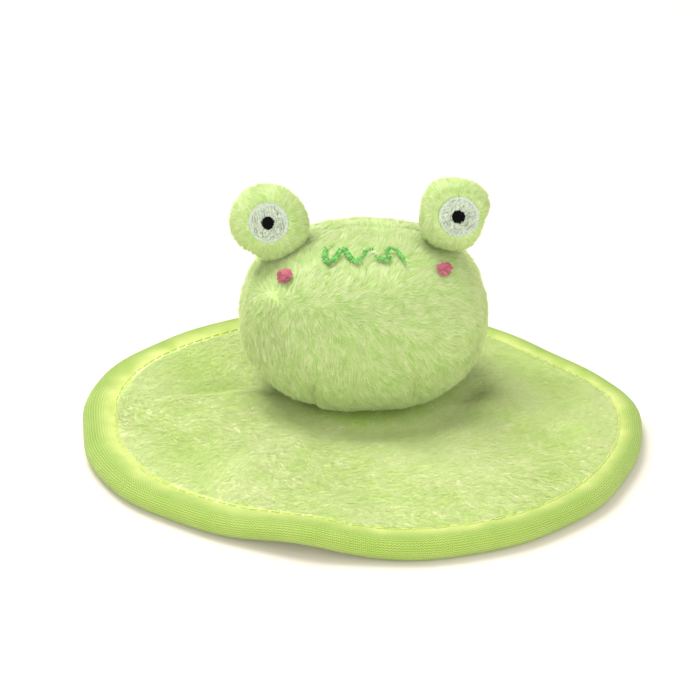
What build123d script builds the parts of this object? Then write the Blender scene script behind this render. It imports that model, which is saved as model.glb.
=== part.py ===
from build123d import *
import os
from math import atan2, cos, degrees, hypot, pi, sin

# A hand puppet: a stuffed plush frog head sewn onto a padded oval mat shaped like a lily pad.
# Fingers go up through the underside of the mat into a pocket in the head, which they move about
# its neck, and the mat hides the rest of the hand.
#
# Millimetres. The origin is on the surface that the mat lies on, under the middle of the mat.
# The frog looks along -Y, and "left" and "right" are those of somebody facing it: left is -X.

# The mat, from its outside inwards.
MAT_HALF_X = 98.0
MAT_HALF_Y = 89.0
RIM_HEIGHT = 8.0
TAPE = 0.9
LIP_WIDTH = 9.0
BASE_FABRIC = 0.9
MAT_PLUSH = 1.9
TUCK = 4.2
LIP_GAP = 0.2
HEM_STEP = 1.2
ROUNDING_MARGIN = 0.1
OUTLINE_STEPS = 3600

# The head is sewn down through the mat, which makes a shallow round dish under it.
NECK_Y = 19.0
DISH_DEPTH = 1.7
DISH_FLOOR_R = 30.0
DISH_MOUTH_R = 38.0

# The finger pocket and the neck.
POCKET_R = 16.5
LINING = 0.8
POCKET_TOP = 54.0
SLEEVE_GAP = 0.3
SLEEVE_FOOT = 0.4
FACING_WIDTH = 4.0
FACING_THICKNESS = 1.2
NECK_RING_R = 18.2
NECK_RING_Z = 8.4
NECK_RING_WAVE = 1.5
NECK_STITCHES = 24
NECK_STITCH_LENGTH = 2.8
NECK_STITCH_R = 0.3

# The head, as half its width, depth and height.
HEAD_HALF = (44.0, 37.0, 30.5)
HEAD_Z = 38.5
HEAD_SKIN = 2.2
HEAD_SEAM_Y = 24.0
SEAM_WIDTH = 1.0
SEAM_SINK = 0.6
THREAD_LAYER = 0.8

# The eye bumps: each is an egg whose foot is cut to the head, leaning out and a little back.
BUMP_HALF = (14.0, 9.5, 16.0)
BUMP_X = 32.0
BUMP_Y = 15.0
BUMP_Z = 72.5
BUMP_SKIN = 1.6
BUMP_LEAN_OUT = 30.0
BUMP_LEAN_BACK = 10.0
BUMP_RING = 0.5
WHITE_R = 6.9
WHITE_THICKNESS = 1.2
WHITE_SINK = 1.7
WHITE_GAP = 0.2
PUPIL_R = 2.3
PUPIL_THICKNESS = 0.5

# The embroidery of the face.
MOUTH_Z = 64.7
MOUTH_THREAD = 1.5
MOUTH_LEFT = ((-13.2, -1.8), (-11.6, -3.6), (-8.0, 2.4), (-3.8, -3.4), (-1.2, 2.6), (1.0, 2.8))
MOUTH_RIGHT = ((2.4, -1.2), (5.6, -3.0), (7.0, 2.6), (9.8, 2.4), (14.2, -3.6))
CHEEK_X = 26.2
CHEEK_Z = 57.8
CHEEK_R = 2.6
DART_X = 18.6
DART_TOP = 25.0
DART_FOOT = 13.0
DART_WIDTH = 0.7
DART_BACK = 2.0
REACH = 12.0

# The topstitching along the inner edge of the binding.
STITCH_INSET = 8.0
STITCH_PITCH = 4.2
STITCH_LENGTH = 3.3
STITCH_R = 0.42

MAT_TOP = RIM_HEIGHT - TAPE
POCKET_OUTER_R = POCKET_R + LINING
MAT_HOLE_R = POCKET_OUTER_R + SLEEVE_GAP

# How far a cutting shape runs past what it cuts, and a length beyond the whole puppet.
OVERSHOOT = 1.0
FAR = 200.0


def oval_plate(inset, low, high):
    """A flat oval plate of the mat's outline, moved in by inset, from one height to another."""
    outline = Ellipse(MAT_HALF_X - inset, MAT_HALF_Y - inset)
    return Pos(0, 0, low) * extrude(outline, high - low)


def neck_cylinder(radius, low, high):
    """An upright cylinder on the neck's axis."""
    height = high - low
    return Pos(0, NECK_Y, low + height / 2) * Cylinder(radius, height)


def dish(depth_below_top):
    """The room of the dish under the head, for a layer whose top lies that much below the mat's."""
    floor = MAT_TOP - depth_below_top - DISH_DEPTH
    middle = Pos(0, NECK_Y, floor + DISH_DEPTH / 2)
    return middle * Cone(DISH_FLOOR_R, DISH_MOUTH_R, DISH_DEPTH)


def egg(half):
    """An ellipsoid about the origin with the given half sizes."""
    return scale(Sphere(1.0), by=half)


def head_egg(grow=0.0):
    """The head's outer form, grown by an even amount."""
    half = tuple(size + grow for size in HEAD_HALF)
    return Pos(0, NECK_Y, HEAD_Z) * egg(half)


def slab_y(low, high):
    """All space between two planes across Y."""
    return Pos(0, (low + high) / 2, 0) * Box(2 * FAR, high - low, 2 * FAR)


def oval_points(inset, pitch):
    """Evenly spaced places along the mat's outline moved in by inset: x, y and heading in degrees."""
    half_x = MAT_HALF_X - inset
    half_y = MAT_HALF_Y - inset
    turns = [2 * pi * index / OUTLINE_STEPS for index in range(OUTLINE_STEPS)]
    corners = [(half_x * cos(turn), half_y * sin(turn)) for turn in turns]
    befores = [corners[-1]] + corners[:-1]
    legs = [hypot(x - before_x, y - before_y) for (x, y), (before_x, before_y) in zip(corners, befores)]
    count = round(sum(legs) / pitch)
    spacing = sum(legs) / count
    places = []
    travelled = 0.0
    for (x, y), leg, turn in zip(corners, legs, turns):
        travelled += leg
        if travelled >= spacing * len(places) and len(places) < count:
            heading = degrees(atan2(half_y * cos(turn), -half_x * sin(turn)))
            places.append((x, y, heading))
    return places


# ---- The mat ----

def mat_layers():
    """The underside fabric, the padding and the plush top, each with the finger hole through it."""
    hem_edge = LIP_WIDTH + LIP_GAP
    step_edge = hem_edge + HEM_STEP
    base = oval_plate(hem_edge, 0, BASE_FABRIC)
    hem = oval_plate(TUCK, BASE_FABRIC, 2 * BASE_FABRIC) - oval_plate(step_edge, 0, MAT_TOP)
    padding_top = MAT_TOP - MAT_PLUSH
    padding = oval_plate(TUCK, 2 * BASE_FABRIC, padding_top)
    padding += oval_plate(step_edge, BASE_FABRIC, 2 * BASE_FABRIC)
    padding -= dish(MAT_PLUSH)
    plush = oval_plate(TUCK, padding_top - DISH_DEPTH, MAT_TOP) - dish(0) - padding
    hole = neck_cylinder(MAT_HOLE_R, -OVERSHOOT, RIM_HEIGHT)
    facing_hole = neck_cylinder(MAT_HOLE_R + FACING_WIDTH, -OVERSHOOT, FACING_THICKNESS)
    return {
        "mat_base_fabric": base + hem - facing_hole,
        "mat_wadding": padding - hole - facing_hole,
        "mat_top_plush": plush - hole,
    }


def pocket_mouth_binding():
    """The tape ring that faces the mouth of the finger pocket, flush with the mat's underside."""
    ring = neck_cylinder(MAT_HOLE_R + FACING_WIDTH, 0, FACING_THICKNESS)
    return ring - neck_cylinder(MAT_HOLE_R, -OVERSHOOT, RIM_HEIGHT)


def edge_binding():
    """The tape folded round the mat's edge: a rounded outside and a lip on the top and underside."""
    outside = oval_plate(0, 0, RIM_HEIGHT)
    outside = fillet(outside.edges(), RIM_HEIGHT / 2 - ROUNDING_MARGIN)
    inside = oval_plate(TAPE, TAPE, RIM_HEIGHT - TAPE)
    inside = fillet(inside.edges(), RIM_HEIGHT / 2 - TAPE - ROUNDING_MARGIN)
    return outside - inside - oval_plate(LIP_WIDTH, -OVERSHOOT, RIM_HEIGHT + OVERSHOOT)


def binding_topstitch():
    """A row of short half-round stitches on the binding's upper lip."""
    thread = Rot(0, 90, 0) * Cylinder(STITCH_R, STITCH_LENGTH)
    thread = split(thread, bisect_by=Plane.XY, keep=Keep.TOP)
    places = oval_points(STITCH_INSET, STITCH_PITCH)
    return [Pos(x, y, RIM_HEIGHT) * Rot(0, 0, turn) * thread for x, y, turn in places]


# ---- The neck ----

def neck_sleeve():
    """The lower part of the pocket's lining, where it passes through the mat."""
    top = MAT_TOP - DISH_DEPTH
    return neck_cylinder(POCKET_OUTER_R, SLEEVE_FOOT, top) - neck_cylinder(POCKET_R, -OVERSHOOT, RIM_HEIGHT)


def neck_stitches():
    """The ring of stitches that holds the head down.

    It dips at the two sides and rises at the front and back, so that it clears the mat as the
    head nods and clears the head as that tilts.
    """
    thread = Rot(90, 0, 0) * Cylinder(NECK_STITCH_R, NECK_STITCH_LENGTH)
    stitches = []
    for index in range(NECK_STITCHES):
        turn = 2 * pi * index / NECK_STITCHES
        height = NECK_RING_Z - NECK_RING_WAVE * cos(2 * turn)
        place = Pos(NECK_RING_R * cos(turn), NECK_Y + NECK_RING_R * sin(turn), height)
        stitches.append(place * Rot(0, 0, degrees(turn)) * thread)
    return stitches


# ---- The head ----

def pocket_room():
    """All that the pocket and its lining take out of the stuffing and the skin."""
    return neck_cylinder(POCKET_OUTER_R, 0, POCKET_TOP + LINING)


def finger_pocket():
    """The blind tube of lining inside the head, cut at its mouth to the head's underside."""
    return pocket_room() - neck_cylinder(POCKET_R, -OVERSHOOT, POCKET_TOP) & head_egg()


def head_side_seam():
    """The sewn seam round the head between its face and its back, a little below the plush."""
    band = head_egg(-SEAM_SINK) - head_egg(-HEAD_SKIN)
    room = slab_y(HEAD_SEAM_Y - SEAM_WIDTH / 2, HEAD_SEAM_Y + SEAM_WIDTH / 2)
    return (band & room) - pocket_room()


def on_face(sketch, x, z):
    """A flat shape laid on the front of the head about a point, as a layer of thread."""
    drop = 1 - (x / HEAD_HALF[0]) ** 2 - ((z - HEAD_Z) / HEAD_HALF[2]) ** 2
    y = NECK_Y - HEAD_HALF[1] * drop**0.5
    outward = Vector(x / HEAD_HALF[0] ** 2, (y - NECK_Y) / HEAD_HALF[1] ** 2, (z - HEAD_Z) / HEAD_HALF[2] ** 2)
    across = Vector(0, 0, 1).cross(outward)
    plane = Plane(origin=(x, y, z), x_dir=across, z_dir=outward)
    prism = extrude(plane * sketch, REACH, both=True)
    return prism & (head_egg(THREAD_LAYER) - head_egg())


def stroke(points):
    """A sketch of one embroidered line: round-ended legs joined at the points."""
    legs = Sketch()
    for start, end in zip(points, points[1:]):
        reach = hypot(end[0] - start[0], end[1] - start[1])
        lean = degrees(atan2(end[1] - start[1], end[0] - start[0]))
        middle = Pos((start[0] + end[0]) / 2, (start[1] + end[1]) / 2)
        legs += middle * Rot(0, 0, lean) * SlotCenterToCenter(reach, MOUTH_THREAD)
    return legs


def dart_wall(side):
    """The upright sheet of space that one dart at the chin lies in."""
    height = DART_TOP - DART_FOOT
    return Pos(side * DART_X, DART_BACK - FAR / 2, DART_FOOT + height / 2) * Box(DART_WIDTH, FAR, height)


def chin_dart(side):
    """The stitched fold at one side of the chin, sunk into the face."""
    return dart_wall(side) & (head_egg(-SEAM_SINK) - head_egg(-HEAD_SKIN))


def head_parts():
    """The skins, stuffing, pocket, seams and embroidery of the head."""
    skin = head_egg() - head_egg(-HEAD_SKIN) - pocket_room()
    half_seam = SEAM_WIDTH / 2
    return {
        "face_panel": (skin & slab_y(-FAR, HEAD_SEAM_Y - half_seam)) - dart_wall(-1) - dart_wall(1),
        "head_back_panel": skin & slab_y(HEAD_SEAM_Y + half_seam, FAR),
        "head_side_seam": head_side_seam(),
        "head_stuffing": head_egg(-HEAD_SKIN) - pocket_room(),
        "finger_pocket": finger_pocket(),
        "mouth_stroke_left": on_face(stroke(MOUTH_LEFT), 0, MOUTH_Z),
        "mouth_stroke_right": on_face(stroke(MOUTH_RIGHT), 0, MOUTH_Z),
        "cheek_left": on_face(Circle(CHEEK_R), -CHEEK_X, CHEEK_Z),
        "cheek_right": on_face(Circle(CHEEK_R), CHEEK_X, CHEEK_Z),
        "chin_dart_left": chin_dart(-1),
        "chin_dart_right": chin_dart(1),
    }


# ---- The eye bumps ----

def right_eye_parts():
    """The skins, stuffing, seam and embroidered eye of the right bump, cut to sit on the head."""
    place = Pos(BUMP_X, BUMP_Y, BUMP_Z) * Rot(-BUMP_LEAN_BACK, BUMP_LEAN_OUT, 0)
    outer = egg(BUMP_HALF)
    inner = egg(tuple(size - BUMP_SKIN for size in BUMP_HALF))
    sunk = egg(tuple(size - SEAM_SINK for size in BUMP_HALF))
    head = place.inverse() * head_egg()
    front = -BUMP_HALF[1]
    white_front = front + WHITE_SINK
    white_back = white_front + WHITE_THICKNESS
    facing = Rot(90, 0, 0)
    recess = Pos(0, white_back - REACH / 2, 0) * facing * Cylinder(WHITE_R + WHITE_GAP, REACH)
    white = Pos(0, (white_front + white_back) / 2, 0) * facing * Cylinder(WHITE_R, WHITE_THICKNESS)
    pupil = Pos(0, white_front - PUPIL_THICKNESS / 2, 0) * facing * Cylinder(PUPIL_R, PUPIL_THICKNESS)
    skin = outer - inner - head
    half_seam = SEAM_WIDTH / 2
    foot_ring = (egg(tuple(size + BUMP_RING for size in BUMP_HALF)) - outer) & (
        place.inverse() * (head_egg(THREAD_LAYER) - head_egg())
    )
    parts = {
        "front_panel": (skin & slab_y(-FAR, -half_seam)) - recess,
        "back_panel": skin & slab_y(half_seam, FAR),
        "side_seam": ((sunk - inner) & slab_y(-half_seam, half_seam)) - head,
        "stuffing": inner - head - recess,
        "white": white,
        "pupil": pupil,
        "foot_stitches": foot_ring,
    }
    return {part: place * shape for part, shape in parts.items()}


# ---- Everything ----

def all_parts():
    """Every piece of the puppet by its node name."""
    parts = mat_layers()
    parts["pocket_mouth_binding"] = pocket_mouth_binding()
    parts["edge_binding"] = edge_binding()
    parts["binding_topstitch"] = binding_topstitch()
    parts["neck_sleeve"] = neck_sleeve()
    parts["neck_stitches"] = neck_stitches()
    parts.update(head_parts())
    for part, shape in right_eye_parts().items():
        parts[f"eye_right_{part}"] = shape
        parts[f"eye_left_{part}"] = mirror(shape, about=Plane.YZ)
    return parts


os.makedirs("parts", exist_ok=True)
for node, shape in all_parts().items():
    solids = shape if isinstance(shape, list) else shape.solids()
    whole = solids[0] if len(solids) == 1 else Compound(children=list(solids))
    export_step(whole, f"parts/{node}.step")
    box = whole.bounding_box()
    print(node, len(solids), "solids", round(sum(s.volume for s in solids), 1), "mm3", box.min, box.max)
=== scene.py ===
"""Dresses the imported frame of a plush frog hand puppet: its mat, neck, head, eye bumps and embroidery.

The classes hold lengths in millimetres. new_piece turns them into metres, the frame's own unit.
The frog looks along -Y, and left is -X, the left of somebody facing it.
"""

import logging
import math
from collections.abc import Callable
from dataclasses import dataclass, field
from enum import Enum

import bpy
import numpy as np
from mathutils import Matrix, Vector
from mathutils.bvhtree import BVHTree
from mathutils.kdtree import KDTree


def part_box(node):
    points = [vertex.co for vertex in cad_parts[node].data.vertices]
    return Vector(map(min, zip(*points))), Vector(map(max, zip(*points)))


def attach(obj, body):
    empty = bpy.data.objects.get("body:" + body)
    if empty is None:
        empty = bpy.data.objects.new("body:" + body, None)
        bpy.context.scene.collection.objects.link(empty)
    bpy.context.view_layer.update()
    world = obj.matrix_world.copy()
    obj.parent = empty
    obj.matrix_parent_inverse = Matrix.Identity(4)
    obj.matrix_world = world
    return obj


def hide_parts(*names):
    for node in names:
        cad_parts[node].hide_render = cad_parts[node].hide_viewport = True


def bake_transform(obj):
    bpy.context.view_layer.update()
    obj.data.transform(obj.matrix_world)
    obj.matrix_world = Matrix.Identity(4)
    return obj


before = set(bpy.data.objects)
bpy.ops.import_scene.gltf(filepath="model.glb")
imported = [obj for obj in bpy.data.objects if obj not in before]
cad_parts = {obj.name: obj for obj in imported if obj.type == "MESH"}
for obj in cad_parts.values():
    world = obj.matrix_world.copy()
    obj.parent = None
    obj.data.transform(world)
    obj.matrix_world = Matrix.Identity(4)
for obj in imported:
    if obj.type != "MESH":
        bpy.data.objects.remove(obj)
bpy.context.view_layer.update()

MM = 0.001
MOUTH_RUN = 124.0
LOG = logging.getLogger("puppet")
Field = Callable[[np.ndarray], np.ndarray]


class Side(Enum):
    """The two sides of the puppet, as somebody facing it names them."""

    LEFT = -1
    RIGHT = 1

    @property
    def word(self) -> str:
        """The side's name in lower case."""
        return self.name.lower()


# ---- Numbers and fields ----

def cad_box(node: str) -> tuple[np.ndarray, np.ndarray]:
    """Gives the corners of a CAD node.

    Args:
        node: The node's name.

    Returns:
        The lowest and the highest corner, in millimetres.
    """
    low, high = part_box(node)
    return np.array(low) / MM, np.array(high) / MM


def cad_middle(node: str) -> np.ndarray:
    """Gives the middle of a CAD node's box, in millimetres."""
    low, high = cad_box(node)
    return (low + high) / 2


def ease(start: float, end: float, value: np.ndarray) -> np.ndarray:
    """Climbs smoothly from 0 to 1 as the value goes from start to end.

    Args:
        start: Where the climb begins.
        end: Where it is over.
        value: The values to ease.

    Returns:
        The eased values.
    """
    share = np.clip((value - start) / (end - start), 0.0, 1.0)
    return share * share * (3.0 - 2.0 * share)


def bell(distance: np.ndarray, width: float) -> np.ndarray:
    """Gives a smooth bump, 1 at distance 0, that fades over the width."""
    return np.exp(-((distance / width) ** 2))


def unit(vectors: np.ndarray) -> np.ndarray:
    """Scales each row to length 1."""
    return vectors / np.maximum(np.linalg.norm(vectors, axis=-1, keepdims=True), 1e-9)


def across(vectors: np.ndarray, normals: np.ndarray) -> np.ndarray:
    """Lays each vector flat on the surface with that normal, at length 1."""
    flat = vectors - normals * np.sum(vectors * normals, axis=-1, keepdims=True)
    return unit(flat)


def distance_to_line(points: np.ndarray, start: tuple[float, ...], end: tuple[float, ...]) -> np.ndarray:
    """Measures how far points lie from a straight stretch.

    Args:
        points: One point a row.
        start: The stretch's first end.
        end: Its other end.

    Returns:
        The distance of each point.
    """
    begin, run = np.array(start), np.array(end) - np.array(start)
    share = np.clip((points - begin) @ run / (run @ run), 0.0, 1.0)
    return np.linalg.norm(points - begin - share[:, None] * run, axis=1)


@dataclass(frozen=True)
class Swell:
    """A smooth uneven field through space, from about -1 to 1: a few waves in seeded directions."""

    wavelength: float
    seed: int
    waves: int = 9

    def at(self, points: np.ndarray) -> np.ndarray:
        """Reads the field.

        Args:
            points: One point a row.

        Returns:
            The field's value at each point.
        """
        rng = np.random.default_rng(self.seed)
        headings = unit(rng.normal(size=(self.waves, 3)))
        pitches = self.wavelength * rng.uniform(0.7, 1.5, self.waves)
        phases = rng.uniform(0, 2 * math.pi, self.waves)
        total = np.zeros(len(points))
        for heading, pitch, phase in zip(headings, pitches, phases):
            total += np.sin(points @ heading * (2 * math.pi / pitch) + phase)
        return total / math.sqrt(self.waves)


# ---- Meshes ----

@dataclass
class Surface:
    """A triangle surface in millimetres, with a normal at each point."""

    points: np.ndarray
    triangles: np.ndarray
    normals: np.ndarray = field(init=False)

    def __post_init__(self) -> None:
        """Works out the normals from the triangles, weighted by their areas."""
        a, b, c = (self.points[self.triangles[:, i]] for i in range(3))
        turned = np.cross(b - a, c - a)
        total = np.zeros_like(self.points)
        for corner in range(3):
            np.add.at(total, self.triangles[:, corner], turned)
        self.normals = unit(total)

    def part(self, wanted: np.ndarray) -> "Surface":
        """Keeps some of the triangles.

        Args:
            wanted: For each triangle, whether it stays.

        Returns:
            A surface with the same points and normals, and those triangles alone.
        """
        kept = Surface(self.points, self.triangles[wanted])
        kept.normals = self.normals
        return kept

    def middles(self) -> np.ndarray:
        """The middle of each triangle."""
        return self.points[self.triangles].mean(axis=1)

    def areas(self) -> np.ndarray:
        """The area of each triangle."""
        a, b, c = (self.points[self.triangles[:, i]] for i in range(3))
        return np.linalg.norm(np.cross(b - a, c - a), axis=1) / 2

    def scatter(self, count: int, rng: np.random.Generator) -> tuple[np.ndarray, np.ndarray]:
        """Picks random places, spread evenly over the area.

        Args:
            count: How many places.
            rng: The seeded source of chance.

        Returns:
            The places and the normals there.
        """
        a, b, c = (self.points[self.triangles[:, i]] for i in range(3))
        areas = self.areas()
        chosen = rng.choice(len(areas), count, p=areas / areas.sum())
        u, v = rng.random((2, count, 1))
        over = u + v > 1
        u, v = np.where(over, 1 - u, u), np.where(over, 1 - v, v)
        corners = self.triangles[chosen]
        places = a[chosen] * (1 - u - v) + b[chosen] * u + c[chosen] * v
        normals = self.normals[corners]
        return places, unit(normals[:, 0] * (1 - u - v) + normals[:, 1] * u + normals[:, 2] * v)

    def tree(self) -> BVHTree:
        """A search tree of the triangles."""
        return BVHTree.FromPolygons(self.points.tolist(), self.triangles.tolist())


def new_piece(name: str, points: np.ndarray, faces: np.ndarray | list[list[int]]) -> bpy.types.Object:
    """Makes a smooth mesh object from points in millimetres.

    Args:
        name: The piece's name.
        points: One point a row.
        faces: The corners of each face.

    Returns:
        The new object, at the origin.
    """
    mesh = bpy.data.meshes.new(name)
    corners = np.array([len(face) for face in faces], np.int32)
    mesh.vertices.add(len(points))
    mesh.vertices.foreach_set("co", (np.asarray(points) * MM).astype(np.float32).ravel())
    mesh.loops.add(int(corners.sum()))
    mesh.loops.foreach_set("vertex_index", np.concatenate([np.asarray(f, np.int32) for f in faces]))
    mesh.polygons.add(len(corners))
    mesh.polygons.foreach_set("loop_start", np.concatenate([[0], np.cumsum(corners)[:-1]]).astype(np.int32))
    mesh.polygons.foreach_set("use_smooth", np.ones(len(corners), bool))
    mesh.update(calc_edges=True)
    piece = bpy.data.objects.new(name, mesh)
    bpy.context.scene.collection.objects.link(piece)
    return piece


def only(piece: bpy.types.Object) -> bpy.types.Object:
    """Makes the piece the one selected and active object.

    Args:
        piece: The piece.

    Returns:
        The same piece.
    """
    if bpy.context.object and bpy.context.object.mode != "OBJECT":
        bpy.ops.object.mode_set(mode="OBJECT")
    bpy.ops.object.select_all(action="DESELECT")
    piece.select_set(True)
    bpy.context.view_layer.objects.active = piece
    return piece


def fresh(name: str) -> bpy.types.Object:
    """Names the primitive that was just added, and selects nothing else.

    Args:
        name: Its name.

    Returns:
        The primitive.
    """
    piece = bpy.context.object
    piece.name = name
    piece.data.name = name
    return only(piece)


def copied(piece: bpy.types.Object, name: str) -> bpy.types.Object:
    """Copies a piece with its mesh.

    Args:
        piece: The piece.
        name: The copy's name.

    Returns:
        The copy.
    """
    copy = piece.copy()
    copy.data = piece.data.copy()
    copy.name = name
    bpy.context.scene.collection.objects.link(copy)
    return copy


def ico_form(name: str) -> tuple[bpy.types.Object, np.ndarray]:
    """Adds an even ball of triangles to shape.

    Args:
        name: The piece's name.

    Returns:
        The piece, and the direction of each of its points.
    """
    bpy.ops.object.select_all(action="DESELECT")
    bpy.ops.mesh.primitive_ico_sphere_add(subdivisions=5, radius=1.0)
    piece = fresh(name)
    return piece, unit(np.array([v.co for v in piece.data.vertices]))


def refine(piece: bpy.types.Object) -> None:
    """Subdivides the piece once, smoothly."""
    fine = piece.modifiers.new("fine", "SUBSURF")
    fine.levels = fine.render_levels = 1
    apply_all(piece)


def apply_all(piece: bpy.types.Object) -> bpy.types.Object:
    """Applies every modifier of the piece, in order.

    Args:
        piece: The piece.

    Returns:
        The same piece.
    """
    only(piece)
    for modifier in list(piece.modifiers):
        bpy.ops.object.modifier_apply(modifier=modifier.name)
    return piece


def coordinates(piece: bpy.types.Object) -> np.ndarray:
    """Reads the piece's points.

    Args:
        piece: The mesh object.

    Returns:
        One point a row, in millimetres.
    """
    flat = np.zeros(len(piece.data.vertices) * 3, np.float32)
    piece.data.vertices.foreach_get("co", flat)
    return flat.reshape(-1, 3).astype(float) / MM


def set_coordinates(piece: bpy.types.Object, points: np.ndarray) -> None:
    """Moves the piece's points.

    Args:
        piece: The mesh object.
        points: One point a row, in millimetres.
    """
    piece.data.vertices.foreach_set("co", (points * MM).astype(np.float32).ravel())
    piece.data.update()


def surface_of(piece: bpy.types.Object) -> Surface:
    """Reads the piece's faces as triangles.

    Args:
        piece: The mesh object.

    Returns:
        Its surface, in millimetres.
    """
    mesh = piece.data
    mesh.calc_loop_triangles()
    corners = np.zeros(len(mesh.loop_triangles) * 3, np.int32)
    mesh.loop_triangles.foreach_get("vertices", corners)
    return Surface(coordinates(piece), corners.reshape(-1, 3))


def drop_faces(piece: bpy.types.Object, doomed: Field) -> None:
    """Deletes the faces whose middles the test picks.

    Args:
        piece: The mesh object.
        doomed: Takes face middles in millimetres and says which go.
    """
    mesh = piece.data
    middles = np.array([polygon.center for polygon in mesh.polygons]) / MM
    only(piece)
    bpy.ops.object.mode_set(mode="EDIT")
    bpy.ops.mesh.select_mode(type="FACE")
    bpy.ops.mesh.select_all(action="DESELECT")
    bpy.ops.object.mode_set(mode="OBJECT")
    mesh.polygons.foreach_set("select", doomed(middles))
    bpy.ops.object.mode_set(mode="EDIT")
    bpy.ops.mesh.delete(type="FACE")
    bpy.ops.object.mode_set(mode="OBJECT")


def halve(piece: bpy.types.Object, place: tuple[float, ...], normal: tuple[float, ...], front: bool) -> None:
    """Cuts the piece at a plane and keeps one side.

    Args:
        piece: The mesh object.
        place: A point of the plane, in millimetres.
        normal: The plane's normal.
        front: Whether the side against the normal stays.
    """
    only(piece)
    bpy.ops.object.mode_set(mode="EDIT")
    bpy.ops.mesh.select_all(action="SELECT")
    bpy.ops.mesh.bisect(plane_co=[p * MM for p in place], plane_no=normal, clear_outer=front,
                        clear_inner=not front)
    bpy.ops.object.mode_set(mode="OBJECT")


def thicken(piece: bpy.types.Object, thickness: float) -> bpy.types.Object:
    """Gives a sheet its thickness, inwards from its faces, which closes it.

    Args:
        piece: The sheet.
        thickness: Its thickness, in millimetres.

    Returns:
        The same piece.
    """
    wall = piece.modifiers.new("wall", "SOLIDIFY")
    wall.thickness = thickness * MM
    wall.offset = -1.0
    return apply_all(piece)


def set_attribute(piece: bpy.types.Object, name: str, values: np.ndarray) -> None:
    """Writes one number per point for a material to read."""
    attribute = piece.data.attributes.new(name, "FLOAT", "POINT")
    attribute.data.foreach_set("value", np.asarray(values, np.float32))


def set_uv(piece: bpy.types.Object, corner_uv: np.ndarray) -> None:
    """Writes the piece's own map, one pair of numbers per face corner."""
    layer = piece.data.uv_layers.new(name="cloth")
    layer.data.foreach_set("uv", np.asarray(corner_uv, np.float32).ravel())


def ring_faces(rows: int, columns: int, closed_rows: bool = False) -> np.ndarray:
    """Lists the quads of a grid whose columns close into a ring.

    Args:
        rows: How many rows of points.
        columns: How many points in each row.
        closed_rows: Whether the last row joins the first, as on a tube's section.

    Returns:
        Four corners for each face.
    """
    row, column = np.meshgrid(np.arange(rows if closed_rows else rows - 1), np.arange(columns), indexing="ij")
    row, column = row.ravel(), column.ravel()
    below, beside = (row + 1) % rows, (column + 1) % columns
    return np.stack([row * columns + column, row * columns + beside, below * columns + beside,
                     below * columns + column], axis=1)


def circle(centre: np.ndarray, radius: object, turns: np.ndarray, height: object) -> np.ndarray:
    """Places points round an upright axis.

    Args:
        centre: The axis's place.
        radius: The distance from the axis, one for all or one for each point.
        turns: The angle of each point.
        height: The height, one for all or one for each point.

    Returns:
        The points.
    """
    return np.column_stack([centre[0] + radius * np.cos(turns), centre[1] + radius * np.sin(turns),
                            np.broadcast_to(height, len(turns))])


def full_turn(count: int) -> np.ndarray:
    """Spreads angles evenly round a full turn."""
    return np.linspace(0, 2 * math.pi, count, endpoint=False)


def lengths_along(path: np.ndarray) -> np.ndarray:
    """The length travelled along a path at each of its points."""
    return np.concatenate([[0], np.cumsum(np.linalg.norm(np.diff(path, axis=0), axis=1))])


def map_rings(piece: bpy.types.Object, faces: np.ndarray, columns: int, run: float,
              climb: np.ndarray) -> None:
    """Maps a tube of rings in millimetres, round it and from row to row.

    Args:
        piece: The piece.
        faces: Its quads, as ring_faces gives them.
        columns: How many points each ring has.
        run: The length round a ring.
        climb: How far along the map each row lies.
    """
    row, column = faces // columns, faces % columns
    column = np.where((column == 0) & (column.max(axis=1, keepdims=True) > 1), columns, column)
    set_uv(piece, np.stack([column * run / columns, climb[row]], axis=2).reshape(-1, 2))


def inflate(piece: bpy.types.Object, held: np.ndarray, pressure: float, cap: float) -> None:
    """Puffs a closed form up as stuffed cloth, and caps how far a point moves.

    Args:
        piece: The closed mesh.
        held: Which points are sewn down and stay.
        pressure: The filling's push.
        cap: The largest movement, in millimetres.
    """
    before = coordinates(piece)
    only(piece)
    group = piece.vertex_groups.new(name="held")
    group.add([int(i) for i in np.flatnonzero(held)], 1.0, "REPLACE")
    cloth = piece.modifiers.new("stuffing", "CLOTH")
    cloth.settings.use_pressure = True
    cloth.settings.uniform_pressure_force = pressure
    cloth.settings.effector_weights.gravity = 0.0
    cloth.settings.vertex_group_mass = "held"
    cloth.settings.quality = 4
    cloth.point_cache.frame_end = 20
    for step in range(1, 21):
        bpy.context.scene.frame_set(step)
    apply_all(piece)
    bpy.context.scene.frame_set(1)
    moved = coordinates(piece) - before
    reach = np.linalg.norm(moved, axis=1, keepdims=True)
    set_coordinates(piece, before + moved * np.minimum(1.0, cap / np.maximum(reach, 1e-6)))


# ---- Materials ----

def colour(red: int, green: int, blue: int) -> tuple[float, float, float, float]:
    """Turns a screen colour of 0 to 255 into the linear one that a shader takes.

    Args:
        red: Its red.
        green: Its green.
        blue: Its blue.

    Returns:
        The linear colour, opaque.
    """
    def linear(level: int) -> float:
        """Turns one channel linear."""
        share = level / 255
        return share / 12.92 if share <= 0.04045 else ((share + 0.055) / 1.055) ** 2.4
    return linear(red), linear(green), linear(blue), 1.0


Colour = tuple[float, float, float, float]


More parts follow.
